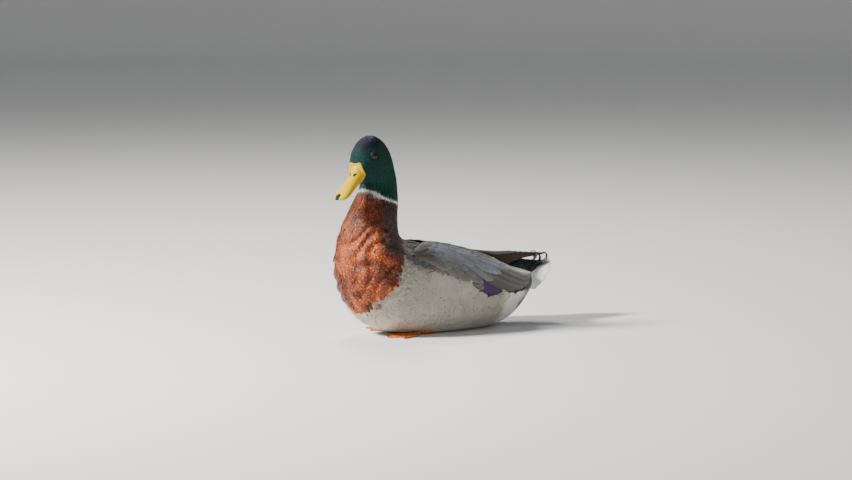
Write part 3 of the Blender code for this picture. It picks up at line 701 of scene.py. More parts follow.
# ------------------------------------------------------------------ materials
class Nodes:
    """Short ways to add and join shader nodes."""

    def __init__(self, name):
        self.material = bpy.data.materials.new(name)
        self.material.use_nodes = True
        self.tree = self.material.node_tree
        self.shader = self.tree.nodes["Principled BSDF"]

    def put(self, socket, value):
        if isinstance(value, bpy.types.NodeSocket):
            self.tree.links.new(value, socket)
        elif hasattr(value, "__len__") and len(value) == 3 and socket.type == "RGBA":
            socket.default_value = (*value, 1.0)
        else:
            socket.default_value = value

    def add(self, kind, inputs=(), **settings):
        node = self.tree.nodes.new("ShaderNode" + kind)
        for key, value in settings.items():
            setattr(node, key, value)
        for key, value in dict(inputs).items():
            self.put(node.inputs[key], value)
        return node

    def attribute(self, name):
        return self.add("Attribute", attribute_name=name).outputs["Vector"]

    def parts(self, vector):
        return self.add("SeparateXYZ", {0: vector}).outputs

    def join(self, *values):
        return self.add("CombineXYZ", dict(enumerate(values))).outputs[0]

    def math(self, operation, a, b=0.0, c=0.0):
        return self.add("Math", {0: a, 1: b, 2: c}, operation=operation).outputs[0]

    def times(self, a, b):
        return self.math("MULTIPLY", a, b)

    def between(self, value, low, high, out_low=0.0, out_high=1.0):
        inputs = {"Value": value, "From Min": low, "From Max": high, "To Min": out_low, "To Max": out_high}
        return self.add("MapRange", inputs, interpolation_type="SMOOTHSTEP").outputs[0]

    def mix(self, share, a, b, blend="MIX"):
        inputs = {0: share, 6: a, 7: b}
        return self.add("Mix", inputs, data_type="RGBA", blend_type=blend).outputs[2]

    def tinted(self, colour, by):
        return self.mix(1.0, colour, by, "MULTIPLY")

    def noise(self, scale, detail=3.0, vector=None):
        if vector is None:
            vector = self.add("TexCoord").outputs["Object"]
        inputs = {"Scale": scale, "Detail": detail, "Roughness": 0.55, "Vector": vector}
        return self.add("TexNoise", inputs).outputs["Fac"]

    def bump(self, height, strength, distance, normal=None):
        inputs = {"Height": height, "Strength": strength, "Distance": distance}
        if normal is not None:
            inputs["Normal"] = normal
        return self.add("Bump", inputs).outputs[0]

    def finish(self, **values):
        for key, value in values.items():
            self.put(self.shader.inputs[key.replace("_", " ")], value)
        return self.material


def plumage(
    name, roughness=0.62, sheen=0.25, metallic=0.0, gloss=0.4, lone=0.16, patch_tone_and_highlight=0.1, iridescent=None
):
    """The feathers' shader. It reads each blade's own colour, fringe, fine bars and place on the blade."""
    n = Nodes(name)
    t, s, chance = n.parts(n.attribute("vane"))
    bars, rim, length = n.parts(n.attribute("marks"))
    edge = n.math("MAXIMUM", n.times(n.math("ABSOLUTE", t), 0.96), s)
    fringe = n.between(n.math("SUBTRACT", edge, n.math("SUBTRACT", 1.0, rim)), 0.0, 0.12)
    colour = n.mix(fringe, n.attribute("tint"), n.attribute("fringe"))

    # the fine bars across the blade, which waver
    place = n.join(n.times(t, 2.2), n.times(s, 5.0), n.times(chance, 90.0))
    run = n.times(s, length)
    wave = n.math("SINE", n.math("ADD", n.times(run, 6.8), n.times(n.noise(1.4, 2.0, place), 9.0)))
    dark = n.times(n.between(wave, -0.6, 0.8), bars)
    colour = n.mix(dark, colour, n.tinted(colour, (0.45, 0.43, 0.41)))

    # the shaft, and how each feather and each patch differs from the next; the patches are partly random tone
    # and partly painted highlight
    shaft = n.between(n.math("ABSOLUTE", t), 0.02, 0.06, 0.2, 0.0)
    colour = n.mix(shaft, colour, n.tinted(colour, (0.35, 0.32, 0.30)))
    patch_tone_and_highlight = n.between(n.noise(32.0, 2.0), 0.38, 0.62, 1 - 0.5 * patch_tone_and_highlight, 1 + 1.2 * patch_tone_and_highlight)
    grey = n.times(patch_tone_and_highlight, n.math("MULTIPLY_ADD", chance, lone, 1 - lone / 2))
    colour = n.tinted(colour, n.join(grey, grey, grey))
    if iridescent:
        facing = n.add("LayerWeight", {"Blend": 0.42}).outputs["Facing"]
        colour = n.mix(n.between(facing, 0.30, 0.75), colour, n.mix(0.75, colour, iridescent))

    # barbs slant away from the shaft and split here and there
    slant = n.math("MULTIPLY_ADD", n.math("ABSOLUTE", t), 3.0, run)
    barbs = n.math("SINE", n.times(slant, 11.0))
    relief = n.math("MULTIPLY_ADD", n.noise(3.0, 3.0, place), 1.6, n.times(barbs, 0.4))
    normal = n.bump(relief, 0.35, 0.00025)
    return n.finish(Base_Color=colour, Roughness=roughness, Metallic=metallic, Specular_IOR_Level=gloss,
                    Sheen_Weight=sheen, Sheen_Roughness=0.45, Normal=normal)


def mottled(name, noise, dark, light, grain=None, **values):
    """A surface that wanders between two colours, with a grain of noise, strength and distance."""
    n = Nodes(name)
    if grain:
        values["Normal"] = n.bump(n.noise(*grain[0]), *grain[1:])
    return n.finish(Base_Color=n.mix(n.noise(*noise), dark, light), **values)


def skin_material():
    """Skin and down, in the same colours as the coat above it."""
    n = Nodes("skin_down")
    dark = n.tinted(n.attribute("tint"), (0.45, 0.45, 0.45))
    colour = n.mix(n.noise(900.0, 2.0), n.attribute("tint"), dark)
    return n.finish(Base_Color=colour, Roughness=0.75, Normal=n.bump(n.noise(700.0, 3.0), 0.5, 0.0004))


def bill_material():
    n = Nodes("bill_horn")
    tint = n.attribute("tint")
    blotch = n.between(n.noise(160.0, 4.0), 0.38, 0.72, 0.0, 0.4)
    colour = n.mix(blotch, tint, n.tinted(tint, (0.80, 0.84, 0.55)))
    speck = n.between(n.noise(900.0, 2.0), 0.60, 0.74, 0.0, 0.35)
    colour = n.mix(speck, colour, n.tinted(colour, (0.55, 0.50, 0.35)))
    fine = n.bump(n.noise(1400.0, 3.0), 0.18, 0.0002)
    normal = n.bump(n.noise(260.0, 3.0), 0.25, 0.0005, fine)
    rough = n.between(n.noise(300.0, 3.0), 0.3, 0.7, 0.36, 0.5)
    rough = n.math("ADD", rough, n.between(n.parts(tint)[0], 0.0, 0.12, 0.25, 0.0))
    return n.finish(Base_Color=colour, Roughness=rough, Normal=normal, Specular_IOR_Level=0.2)


def foot_material():
    n = Nodes("foot_scales")
    place = n.add("TexCoord").outputs["Object"]
    cells = n.add("TexVoronoi", {"Vector": place, "Scale": 850.0}, feature="DISTANCE_TO_EDGE")
    gap = n.between(cells.outputs["Distance"], 0.0, 0.12)
    blotch = n.noise(120.0, 4.0)
    colour = n.mix(blotch, (0.62, 0.135, 0.012), (0.86, 0.26, 0.03))
    colour = n.mix(gap, n.tinted(colour, (0.45, 0.35, 0.30)), colour)
    normal = n.bump(gap, 0.55, 0.0004, n.bump(n.noise(500.0, 3.0), 0.2, 0.0003))
    return n.finish(Base_Color=colour, Roughness=n.between(blotch, 0.3, 0.7, 0.36, 0.52), Normal=normal,
                    Subsurface_Weight=0.1, Subsurface_Radius=(0.002, 0.0008, 0.0004))


def eye_material():
    """A dark brown iris round a black pupil, under a wet surface."""
    n = Nodes("eye_wet")
    out = n.parts(n.attribute("gaze"))[0]
    iris = n.mix(n.noise(900.0, 3.0), (0.010, 0.004, 0.002), (0.034, 0.013, 0.006))
    colour = n.mix(n.between(out, 0.40, 0.44), (0.001, 0.001, 0.001), iris)
    colour = n.mix(n.between(out, 0.60, 0.68), colour, (0.003, 0.002, 0.002))
    return n.finish(Base_Color=colour, Roughness=0.06, Specular_IOR_Level=0.32)


def make_materials():
    green_sheen, black_sheen, blue_sheen = (0.024, 0.008, 0.040), (0.01, 0.05, 0.05), (0.02, 0.10, 0.16)
    return {
        "soft": plumage("soft_plumage"),
        "glossy": plumage("glossy_plumage", roughness=0.55, sheen=0.05, gloss=0.3),
        # the breast's strong bright patches are painted highlights
        "breast": plumage("breast_plumage", 0.45, 0.04, gloss=0.35, lone=0.35, patch_tone_and_highlight=0.8),
        "head": plumage("green_gloss", 0.46, 0.0, metallic=0.3, gloss=0.12, iridescent=green_sheen),
        "black": plumage("black_gloss", 0.4, 0.05, metallic=0.2, gloss=0.5, iridescent=black_sheen),
        "speculum": plumage("speculum_gloss", 0.4, 0.0, metallic=0.4, gloss=0.4, iridescent=blue_sheen),
        "skin": skin_material(),
        "bill": bill_material(),
        "foot": foot_material(),
        "claw": mottled("claw_horn", (600.0, 3.0), (0.02, 0.014, 0.010), (0.09, 0.06, 0.04),
                        ((900.0, 2.0), 0.2, 0.0002), Roughness=0.38),
        "eye": eye_material(),
        "lid": mottled("eyelid_skin", (700.0, 3.0), (0.006, 0.009, 0.008), (0.018, 0.024, 0.020),
                       ((1500.0, 2.0), 0.4, 0.0003), Roughness=0.6, Specular_IOR_Level=0.2),
    }


# ------------------------------------------------------------------ markings
def chestnut_edge(z):
    """f at which the chestnut of the breast gives way to the grey of the flank, at a height."""
    return np.interp(z, [12, 22, 60, 97, 112, 127, 150], [164, 156, 136, 112, 102, 92, 80])


def scapular_edge(f):
    """Height above which the feathers beside the wing's front have the scapulars' colours, at f."""
    return np.interp(f, [0, 19, 45, 70, 85, 100], [62, 68, 73, 81, 87, 97])


def markings(place, angle, points, loose):
    """Colour, fringe, strength of the fine bars and fringe width at points of the coat. loose is a
    length in millimetres by which each feather's own place may stray over the colours' borders."""
    f, z = MID - points[..., 1] + loose, points[..., 2] + 0.6 * loose
    under = np.abs(centred(angle)) / math.pi  # 0 on the back, 1 underneath
    low = smooth_step((under - 0.62) / 0.3)
    # the flank's pale fringe and its width below are partly painted light that offsets the shade under the
    # feathers' tips
    tint, fringe = blend(FLANK, BELLY, low), blend(FLANK_TIP_AND_FILL_LIGHT, BELLY, low)
    bars = 0.75 - 0.45 * smooth_step((under - 0.65) / 0.3)
    rim = np.full(np.shape(f), 0.14)

    back = smooth_step((0.30 - under) / 0.10)
    tint, fringe = blend(tint, MANTLE, back), blend(fringe, MANTLE_TIP, back)
    bars = bars * (1 - 0.75 * back)
    rim = rim + 0.08 * back
    beside = smooth_step((z - scapular_edge(f)) / 5) * smooth_step((108 - f) / 6) * (place < 11)
    tint, fringe = blend(tint, COVERT, beside * (1 - back)), blend(fringe, SCAPULAR, beside * (1 - back))
    bars = bars * (1 - 0.6 * beside)

    # the pale patch beside the tail, and the black rump
    pale = smooth_step((-46 - f) / 10) * smooth_step((f + 90) / 8) * smooth_step((60 - z) / 10)
    tint, fringe = blend(tint, WHITE, 0.8 * pale), blend(fringe, WHITE, 0.9 * pale)
    bars = bars * (1 - 0.6 * pale)
    above, behind = smooth_step((-66 - f) / 8) * smooth_step((z - 56) / 8), (-84 - f + 0.35 * (24 - z)) / 5
    rump = np.maximum(above, smooth_step(behind))
    tint, fringe = blend(tint, BLACK, rump), blend(fringe, BLACK, rump)
    bars = bars * (1 - rump)

    # the chestnut breast, darker above; down the back of the neck a duller brown under painted shade
    wide = place + 0.05 * loose
    edge = smooth_step((f - chestnut_edge(z)) / 5.0)
    edge = np.maximum(edge, smooth_step((wide - 11.4) / 0.8))
    # the bright chestnut fringe: partly the feathers' warmer tips, partly painted highlight
    tint, fringe = blend(tint, CHESTNUT, edge), blend(fringe, CHESTNUT_TIP_AND_HIGHLIGHT, edge)
    bars = bars * (1 - edge)
    rim = rim * (1 - edge) + 0.16 * edge
    upper = smooth_step((wide - 12.8) / 1.8) * edge
    tint, fringe = blend(tint, MAROON, 0.7 * upper), blend(fringe, MAROON_TIP, 0.8 * upper)
    # painted shade down the back of the neck, over its own duller brown
    nape_and_shade = smooth_step((np.interp(wide, [9.5, 12.5], [0.34, 0.66]) - under) / 0.16) * edge
    tint, fringe = blend(tint, NAPE_AND_SHADE, 0.92 * nape_and_shade), blend(fringe, NAPE_TIP_AND_SHADE, 0.92 * nape_and_shade)

    # the white ring, open at the back of the neck, and the green head with its sheen painted in
    collar = COLLAR - 0.52 * smooth_step((1 - under) / 0.5)
    ring_width = 0.19 + 0.12 * smooth_step((under - 0.55) / 0.4)
    white = smooth_step((wide - (collar - ring_width)) / 0.08) * (under > 0.17)
    tint, fringe = blend(tint, WHITE, white), blend(fringe, WHITE, white)
    green = smooth_step((wide - collar + 0.02) / 0.06)
    # painted sheen: teal towards the bill, dark purple over the crown and the neck's back
    crown = smooth_step((0.38 - under) / 0.22) * smooth_step((place - 16.2) / 2.5)
    crown = crown * (1 - 0.8 * smooth_step((place - 24.3) / 0.8))
    head = blend(blend(GREEN, TEAL_SHEEN, smooth_step((place - 22) / 3)), CROWN_PURPLE_SHEEN, 0.9 * crown)
    tint, fringe = blend(tint, head, green), blend(fringe, head * 1.5, green)
    return tint, fringe, bars, rim * (1 - green) + 0.1 * green


# ------------------------------------------------------------------ the skin
def make_skin(material):
    """One skin from the rump to the face, swelling over the folded wings and hollowed at the eyes."""
    rows, columns, to_neck = 420, 200, 240
    low, high = np.linspace(0, 16, to_neck, endpoint=False), np.linspace(16, LAST, rows - to_neck)
    place = np.concatenate([low, high])
    angle = np.linspace(0, TURN, columns, endpoint=False)
    place, angle = np.broadcast_arrays(place[:, None], angle[None])
    depth = BODY_DEPTH + (HEAD_DEPTH - BODY_DEPTH) * smooth_step((place - 14) / 4)
    points = body(place, angle, -depth)
    reach, _, _, _, middle, f = on_shell(points)
    inside = wing_share(points)
    swell = inside * smooth_step((f + 62) / 34) * (place < 10)
    scale = 1 + swell * np.maximum(0.965 / reach - 1, 0)
    scale = np.maximum(scale, np.where(place < 10, drape(body(place, angle))[0], 1.0))
    points = swollen(points, scale, middle)
    for _, side in SIDES:
        deep, off, gaze = by_eye(points, side)
        hollow = np.where(deep > 0, EYE_HOLLOW * (1 - smooth_step((off - 5.5) / 3.5)), 0)
        points = points - hollow[..., None] * gaze
    mesh = tube("skin", points)
    tint = markings(place, angle, body(place, angle), 0.0)[0]
    add_attribute(mesh, "tint", blend(tint, COVERT, inside * (place < 10)))
    covered = ("trunk", "breast", "neck", "head", "wing_left", "wing_right")
    make_object(mesh, material, covered)


# ------------------------------------------------------------------ the coat of small feathers
CELLS_ALONG, CELLS_ROUND = 24, 180  # cells for each section and round the body, to place roots by
TRIES = 4.5  # places tried for each one that would fit


def scatter(first, last, rng, tight):
    """Places and angles of feather roots between two sections, spaced evenly over the surface."""
    cells_p, cells_q = int((last - first) * CELLS_ALONG), CELLS_ROUND
    edge_p = np.linspace(first, last, cells_p + 1)
    edge_q = np.linspace(0, TURN, cells_q + 1)
    wide_p, wide_q = edge_p[1] - edge_p[0], edge_q[1] - edge_q[0]
    mid_p = np.repeat((edge_p[:-1] + edge_p[1:])[:, None] / 2, cells_q, 1)
    mid_q = np.repeat((edge_q[:-1] + edge_q[1:])[None] / 2, cells_p, 0)
    area = np.linalg.norm(np.cross(*metric(body, mid_p, mid_q, 0.01, 0.01)), axis=-1) * wide_p * wide_q
    gap = tight * np.interp(mid_p, SPACING_PLACES, SPACING)
    weight = (area / gap**2).ravel()
    tries = int(weight.sum() * TRIES)
    cell = np.searchsorted(np.cumsum(weight) / weight.sum(), rng.random(tries))
    cell = np.minimum(cell, weight.size - 1)
    p = edge_p[0] + (cell // cells_q + rng.random(tries)) * wide_p
    q = (cell % cells_q + rng.random(tries)) * wide_q
    gap = tight * np.interp(p, SPACING_PLACES, SPACING)
    kept = thin(body(p, q), gap)
    return p[kept], q[kept], gap[kept]


def thin(points, gap):
    """Which points to keep, in their order, so that none is nearer to a kept one than its gap."""
    cells = np.floor(points / gap.max()).astype(int).tolist()
    steps = [(a, b, c) for a in (-1, 0, 1) for b in (-1, 0, 1) for c in (-1, 0, 1)]
    grid, kept = {}, []
    for i, ((x, y, z), (k, m, n), limit) in enumerate(zip(points.tolist(), cells, (gap**2).tolist())):
        near = [place for a, b, c in steps for place in grid.get((k + a, m + b, n + c), ())]
        if all((x - u) ** 2 + (y - v) ** 2 + (z - w) ** 2 >= limit for u, v, w in near):
            grid.setdefault((k, m, n), []).append((x, y, z))
            kept.append(i)
    return np.array(kept, int)


def feather_line(across, up):
    """How far forward the face's feathers reach, in the head's frame, round the bill's base."""
    turn = np.degrees(np.arctan2(np.abs(across), up + 2.0))
    turns = [0, 12, 32, 42, 65, 95, 112, 125, 150, 180]
    return np.interp(turn, turns, [33.5, 32.5, 29.4, 29.8, 31.0, 31.2, 30.2, 29.6, 32.5, 36])


def bare(place, points):
    """True where a feather's root would be on the bill or under a wing."""
    forward, across, up = from_head(points)
    gone = (place > 21) & (forward > feather_line(across, up))
    return gone | (place < 10) & (wing_share(points) > 0.6) & (MID - points[..., 1] > -95)


def near_eye(v):
    """True for feathers whose blade would touch an eye or its lids."""
    gone = np.zeros(v.count, bool)
    for _, side in SIDES:
        deep, off, _ = by_eye(v.points[:, :, v.columns // 2], side)
        gone |= ((off < EYE_CLEAR) & (deep > -2)).any(1)
    return gone


def body_tufts(first, last, seed, rows, columns, depth, long, wide, rise, tight=1.0, crown=0.055, stray=1.0,
               dip=0.0):
    """The small feathers between two sections. Their length and width are given in gaps between roots,
    and stray is how unlike one another they are."""
    rng = np.random.default_rng(seed)
    p, q, gap = scatter(first, last, rng, tight)
    keep = ~bare(p, body(p, q))
    p, q, gap = p[keep], q[keep], gap[keep]
    length = long * gap * (1 + 0.14 * stray * rng.standard_normal(len(p)))
    width = wide * gap * (1 + 0.10 * stray * rng.standard_normal(len(p)))
    sweep = np.interp(p, [2, 8, 10, 13], [0.10, 0.14, 0.10, 0.0]) * np.sin(q) * -1.0
    lie = 0.10 * stray * rng.standard_normal(len(p)) + sweep
    surface = draped if first < 9 else fluffed if first < 12 else body
    v = tufts(surface, p, q, lie, length, width, depth, rows, columns, rng, rise, crown, 0.07 * stray, dip)
    if last > 20:
        v = v.choose(~near_eye(v))
    if first < 9:
        v = v.choose(wing_share(draped(*v.tips.T), True) < 0.4)
    p, q = v.tips.T
    loose = 1.3 * rng.standard_normal(v.count) * np.interp(p, [14, 15.5], [1.0, 0.12])
    if 14 < first < 19:  # the collar's edges cross single feathers
        p, q, loose = v.places[..., 0], v.places[..., 1] % TURN, each(loose)
    return v.paint(*markings(p, q, body(p, q), loose))


def both_sides(name, groups, material):
    for label, side in SIDES:
        coat(f"{name}_feathers_{label}", [v.on(side) for v in groups], material, body_unwrap)


def make_coat(material):
    """The small feathers of the head, neck, breast and body."""
    face = body_tufts(20.0, LAST, 11, 4, 3, 0.9, 3.9, 1.6, 0.12, tight=0.74)
    root = face.points[:, 0, 0]
    forward, _, up = from_head(root)
    left = root[:, 0] - in_head(forward, 0.0, up)[:, 0] > 0
    coat("face_feathers_left", [face.choose(left)], material["head"], body_unwrap)
    coat("face_feathers_right", [face.choose(~left)], material["head"], body_unwrap)

    neck = body_tufts(15.2, 20.0, 12, 7, 3, 1.1, 3.7, 1.6, 0.18, tight=0.8)
    near_tip = neck.tint[:, -2, 1]
    white = near_tip[:, 2] > 0.3
    green = ~white & (near_tip[:, 1] > 1.05 * near_tip[:, 0])
    coat("neck_feathers", [neck.choose(green)], material["head"], body_unwrap)
    coat("collar_feathers", [neck.choose(white)], material["soft"], body_unwrap)
    throat = neck.choose(~white & ~green)

    breast = body_tufts(9.5, 15.2, 13, 7, 7, 1.7, 3.8, 1.8, 0.5, tight=0.8, crown=0.035, stray=0.9, dip=0.1)
    chestnut = breast.tint[:, 0, 0, 0] > 1.42 * breast.tint[:, 0, 0, 1]
    pale, breast = breast.choose(~chestnut), breast.choose(chestnut)
    both_sides("breast", (throat, breast), material["breast"])

    trunk = body_tufts(0.0, 9.5, 14, 8, 7, 1.6, 4.6, 2.4, 0.1, crown=0.006, stray=0.2, dip=0.74)
    dark = trunk.tint[:, 0, 0, 0] < 0.05
    coat("rump_feathers", [trunk.choose(dark)], material["black"], body_unwrap)
    both_sides("body", (pale, trunk.choose(~dark)), material["soft"])


# ------------------------------------------------------------------ wings
def lattice(front, rear, step, top, bottom, across, rng, jitter=0.22):
    """Staggered places (f, down) on a wing between two f and two levels."""
    rows = np.linspace(front, rear, max(2, round((front - rear) / step) + 1))
    count = max(1, round(WING_HEIGHT * (bottom - top) / across))
    stray = 0.3 * jitter / count
    return np.array([(f + step * jitter * rng.standard_normal(),
                      top + (bottom - top) * (place + 0.25) / count + stray * rng.standard_normal())
                     for f, place in staggered(rows, count)])


# Each tertial, the uppermost last: level and f at its root, level and f at its tip, lift at both,
# width, how pale it is and how pale its upper vane is.
TERTIALS = [
    (0.60, 44, 0.85, -66, -1.3, -1.4, 17, 0.25, 0.0),
    (0.50, 42, 0.80, -82, -1.0, -0.9, 19, 0.55, 0.0),
    (0.39, 38, 0.71, -97, -0.7, -0.4, 21, 0.85, 0.2),
    (0.28, 32, 0.61, -109, -0.4, 0.1, 22, 1.0, 0.4),
    (0.16, 24, 0.52, -117, -0.1, 0.5, 21, 1.0, 0.8),
    (0.03, 10, 0.26, -106, -0.6, -0.2, 21, 0.6, 0.2),
]


def make_tertials(face, rng):
    level, f, tip_level, tip_f, low, high, width, pale, upper = np.array(TERTIALS).T
    start, end = pairs(f, level + 0.04), pairs(tip_f, tip_level)
    v = plumes(face, start, end, width, low, high, 30, 9, rng, blunt=0.20, bow=-0.02, tip_width=0.7)
    v.paint(blend(TERTIAL_DARK, TERTIAL, pale), TERTIAL_EDGE, 0.15, 0.05)
    row = v.rows // 2
    sense = 1 if (v.points[:, row, :, 2] * v.t[:, row]).sum() < 0 else -1  # t may run up or down the wing
    down = v.t * sense
    v.tint = blend(v.tint, TERTIAL_DARK, 0.9 * smooth_step((down + 0.05) / 0.6))
    v.tint = blend(v.tint, TERTIAL_PALE, smooth_step((-down - 0.35) / 0.4) * each(upper))
    return v


def make_scapulars(face, rng):
    """The long feathers from the shoulder over the wing's upper part."""
    reach = partial(np.interp, xp=[-6, 14, 34, 60, 90], fp=[0.36, 0.56, 0.84, 0.98, 0.95])
    roots = np.array([(f + 1.5 * rng.standard_normal(), -0.08 + reach(f) * place / 4.5)
                      for f, place in staggered(np.linspace(90, -6, 14), 5)])
    f, level = roots.T
    ends = roots - pairs(np.interp(f, [-6, 40, 80], [50, 38, 26]), -0.07 - 0.05 * (f < 30))
    width = np.interp(f, [-6, 80], [17, 13.5])
    v = plumes(face, roots, ends, width, -1.1, 1.0, 16, 7, rng, blunt=0.26, shaft=0.1, tip_width=0.72)
    outer = smooth_step((level - 0.02) / 0.16) * smooth_step((92 - f) / 14)
    low = smooth_step((level - 0.42) / 0.3)
    tint = blend(blend(MANTLE, SCAPULAR, outer), COVERT, 0.85 * low)
    return v.paint(tint, blend(MANTLE_TIP, SCAPULAR_TIP, outer * (1 - 0.6 * low)), 0.25, 0.08)


def make_wing(label, side, material):
    rng = np.random.default_rng(30 + side)
    face = partial(wing, side)

    # lesser and median coverts
    roots = lattice(84, 12, 6.4, 0.16, 0.99, 7.5, rng)
    ends = roots + np.array([-17.0, 0.01]) + rng.standard_normal(roots.shape) * (0.8, 0.008)
    coverts = plumes(face, roots, ends, 12.5, -2.4, -0.8, 9, 7, rng, blunt=0.3, shaft=0.08)
    coverts.paint(COVERT, COVERT_TIP, 0.08, 0.14)

    # greater coverts, white and then black at their tips in front of the speculum
    level = np.linspace(0.74, 1.03, 6)
    tips = 10 + 22 * (level - 0.7)
    greater = plumes(face, pairs(tips + 30, level - 0.01), pairs(tips, level), 11.5, -1.8, -0.5, 15, 9, rng,
                     blunt=0.22, shaft=0.12)
    greater.paint(COVERT, COVERT_TIP, 0.05, 0.08)
    greater.band(0.84, 0.04, WHITE)
    greater.band(0.93, 0.03, BLACK)

    # the back's own feathers between the tertials and the ridge of the primaries
    roots = lattice(6, -98, 8.5, -0.30, 0.50, 9.0, rng, 0.1)
    back = plumes(face, roots, roots + (-22.0, 0.02), 14.0, -2.4, -1.1, 12, 7, rng, blunt=0.3, shaft=0.08)
    dark = smooth_step((-30 - roots[:, 0]) / 40)
    back.paint(blend(MANTLE, BACK_DARK, dark), blend(MANTLE_TIP, BACK_DARK_TIP, dark), 0.1, 0.1)

    groups = [coverts, greater, back, make_tertials(face, rng), make_scapulars(face, rng)]
    coat("wing_coverts_" + label, groups, material["soft"], wing_unwrap)

    # secondaries: the speculum between black and white borders
    level = np.linspace(0.56, 1.02, 8)
    lifts = np.linspace(-1.2, -1.9, 8)
    secondaries = plumes(face, pairs(26.0, level - 0.01), pairs(-46 + 8 * (level - 0.52), level), 11.5, lifts,
                         lifts, 24, 9, rng, blunt=0.10)
    secondaries.paint(SPECULUM, SPECULUM, 0.0, 0.04)
    secondaries.band(0.84, 0.03, BLACK)
    secondaries.band(0.925, 0.02, WHITE)
    coat("speculum_" + label, [secondaries], material["speculum"], wing_unwrap)

    # the dark bases of the flight feathers, which close the wing's rear lower corner
    level = np.linspace(0.94, 0.66, 5)
    lifts = np.linspace(-2.4, -1.9, 5)
    start = pairs(np.linspace(-20, -40, 5), level - 0.02)
    end = pairs([-86, -94, -101, -106, -109], level + 0.01)
    bases = plumes(face, start, end, 14.0, lifts, lifts, 20, 9, rng, blunt=0.14)
    bases.paint(FLIGHT, FLIGHT_EDGE, 0.05, 0.05)
    coat("flight_bases_" + label, [bases], material["glossy"], wing_unwrap)


def make_primaries(label, side, material):
    """The brown flight feathers, closed into a ridge over the rump."""
    rng = np.random.default_rng(50 + side)
    groups = []
    for k in range(7):
        s, t = leaf(1, 26, 9, 0.07, True)
        tip = 9.5 * k - 173
        f = -14 + (tip + 14) * s
        down = 0.5 + 0.5 * t * (1 - 0.09 * k) - 0.045 * k
        lift = -1.9 + 0.5 * k + 0.5 * (1 - t * t) + 0.4 * np.exp(-((t / 0.05) ** 2))
        root, length = np.array([[-14.0 - k, 0.3 * side]]), np.array([150.0])
        v = finish_vanes(partial(ridge, side), f, down, lift, s, t, root, length, rng)
        groups.append(v.paint(FLIGHT, FLIGHT_EDGE, 0.04, 0.07))
    covered = ["primaries_" + label]
    coat("primary_feathers_" + label, groups, material["glossy"], wing_unwrap, covered)


# ------------------------------------------------------------------ tail
def make_tail(material):
    """Eighteen tail feathers, white at the sides and grey-brown in the middle, and their coverts."""
    rng = np.random.default_rng(90)
    share = np.linspace(-0.97, 0.97, 18)
    reach = TAIL_LENGTH * (1 - TAIL_SHORTER * np.abs(share) ** 1.5)
    start, end = pairs(-16.0, share * TAIL_SPREAD * 0.85), pairs(-reach, share * TAIL_SPREAD)
    over = 1.0 - 2.6 * np.abs(share)
    v = plumes(fan, start, end, 14.5, over - 0.8, over * 0.5, 24, 9, rng, blunt=0.17, root_width=0.4,
               tip_width=0.78, crown=0.035)
    middle = 1 - smooth_step((np.abs(share) - 0.16) / 0.2)
    # the outer tail feathers' white, brightened with painted light
    v.paint(blend(TAIL_WHITE_WITH_LIGHT, TAIL_GREY, middle), blend(TAIL_TIP_WHITE_WITH_LIGHT, TAIL_GREY_TIP, middle), 0.0, 0.10)
    inner = smooth_step((0.62 - np.abs(v.t)) / 0.4) * (1 - 0.55 * smooth_step((v.s - 0.55) / 0.3))
    v.tint = blend(v.tint, TAIL_GREY, 0.35 * inner * each(1 - smooth_step((np.abs(share) - 0.45) / 0.2)))
    coat("tail_feathers", [v], material["soft"], fan_unwrap, ["tail"])

    spread = partial(np.interp, xp=[20, 42], fp=[0.62, 0.34])
    roots = [(-radius, (place / 8.5 * 2 - 1) * TAIL_SPREAD * spread(radius) + 0.02 * rng.standard_normal())
             for radius, place in staggered(np.linspace(14, 42, 9), 9)]
    tail_coverts("under_tail_coverts", under_tail, roots, (1.0, 0.85), (22.0, 0.0), 11.5, 0.0, 0.4, 10, 0.32,
                 fan_unwrap, material, rng)
    roots = [(f + 0.8 * rng.standard_normal(), (place / 5.5 * 2 - 1) * 0.95 + 0.03 * rng.standard_normal())
             for f, place in staggered(np.linspace(-72, -142, 12), 6)]
    tail_coverts("upper_tail_coverts", arch, roots, (1.0, 0.96), (20.0, 0.0), 10.5, -1.2, 0.2, 12, 0.34,
                 arch_unwrap, material, rng)


def tail_coverts(name, surface, roots, closing, reach, width, low, high, rows, blunt, unwrap, material, rng):
    """Black feathers over or under the base of the tail, closing together towards their tips."""
    roots = np.array(roots)
    lift = high + 0.4 * rng.random(len(roots))
    tips = roots * closing - reach
    v = plumes(surface, roots, tips, width, low, lift, rows, 7, rng, blunt=blunt, shaft=0.05)
    v.paint(BLACK, np.array(BLACK) * 2.0, 0.0, 0.1)
    coat(name, [v], material["black"], unwrap)


CURL_HALF_WIDTH, CURL_ROOT = 3.0, -128  # the second is f where the curled feathers come out
# Each curled feather: distance from the middle, f where it turns up, the curl's radius and degrees.
CURLS = [(10.0, -160.0, 6.2, 225), (5.0, -153.0, 5.6, 240)]


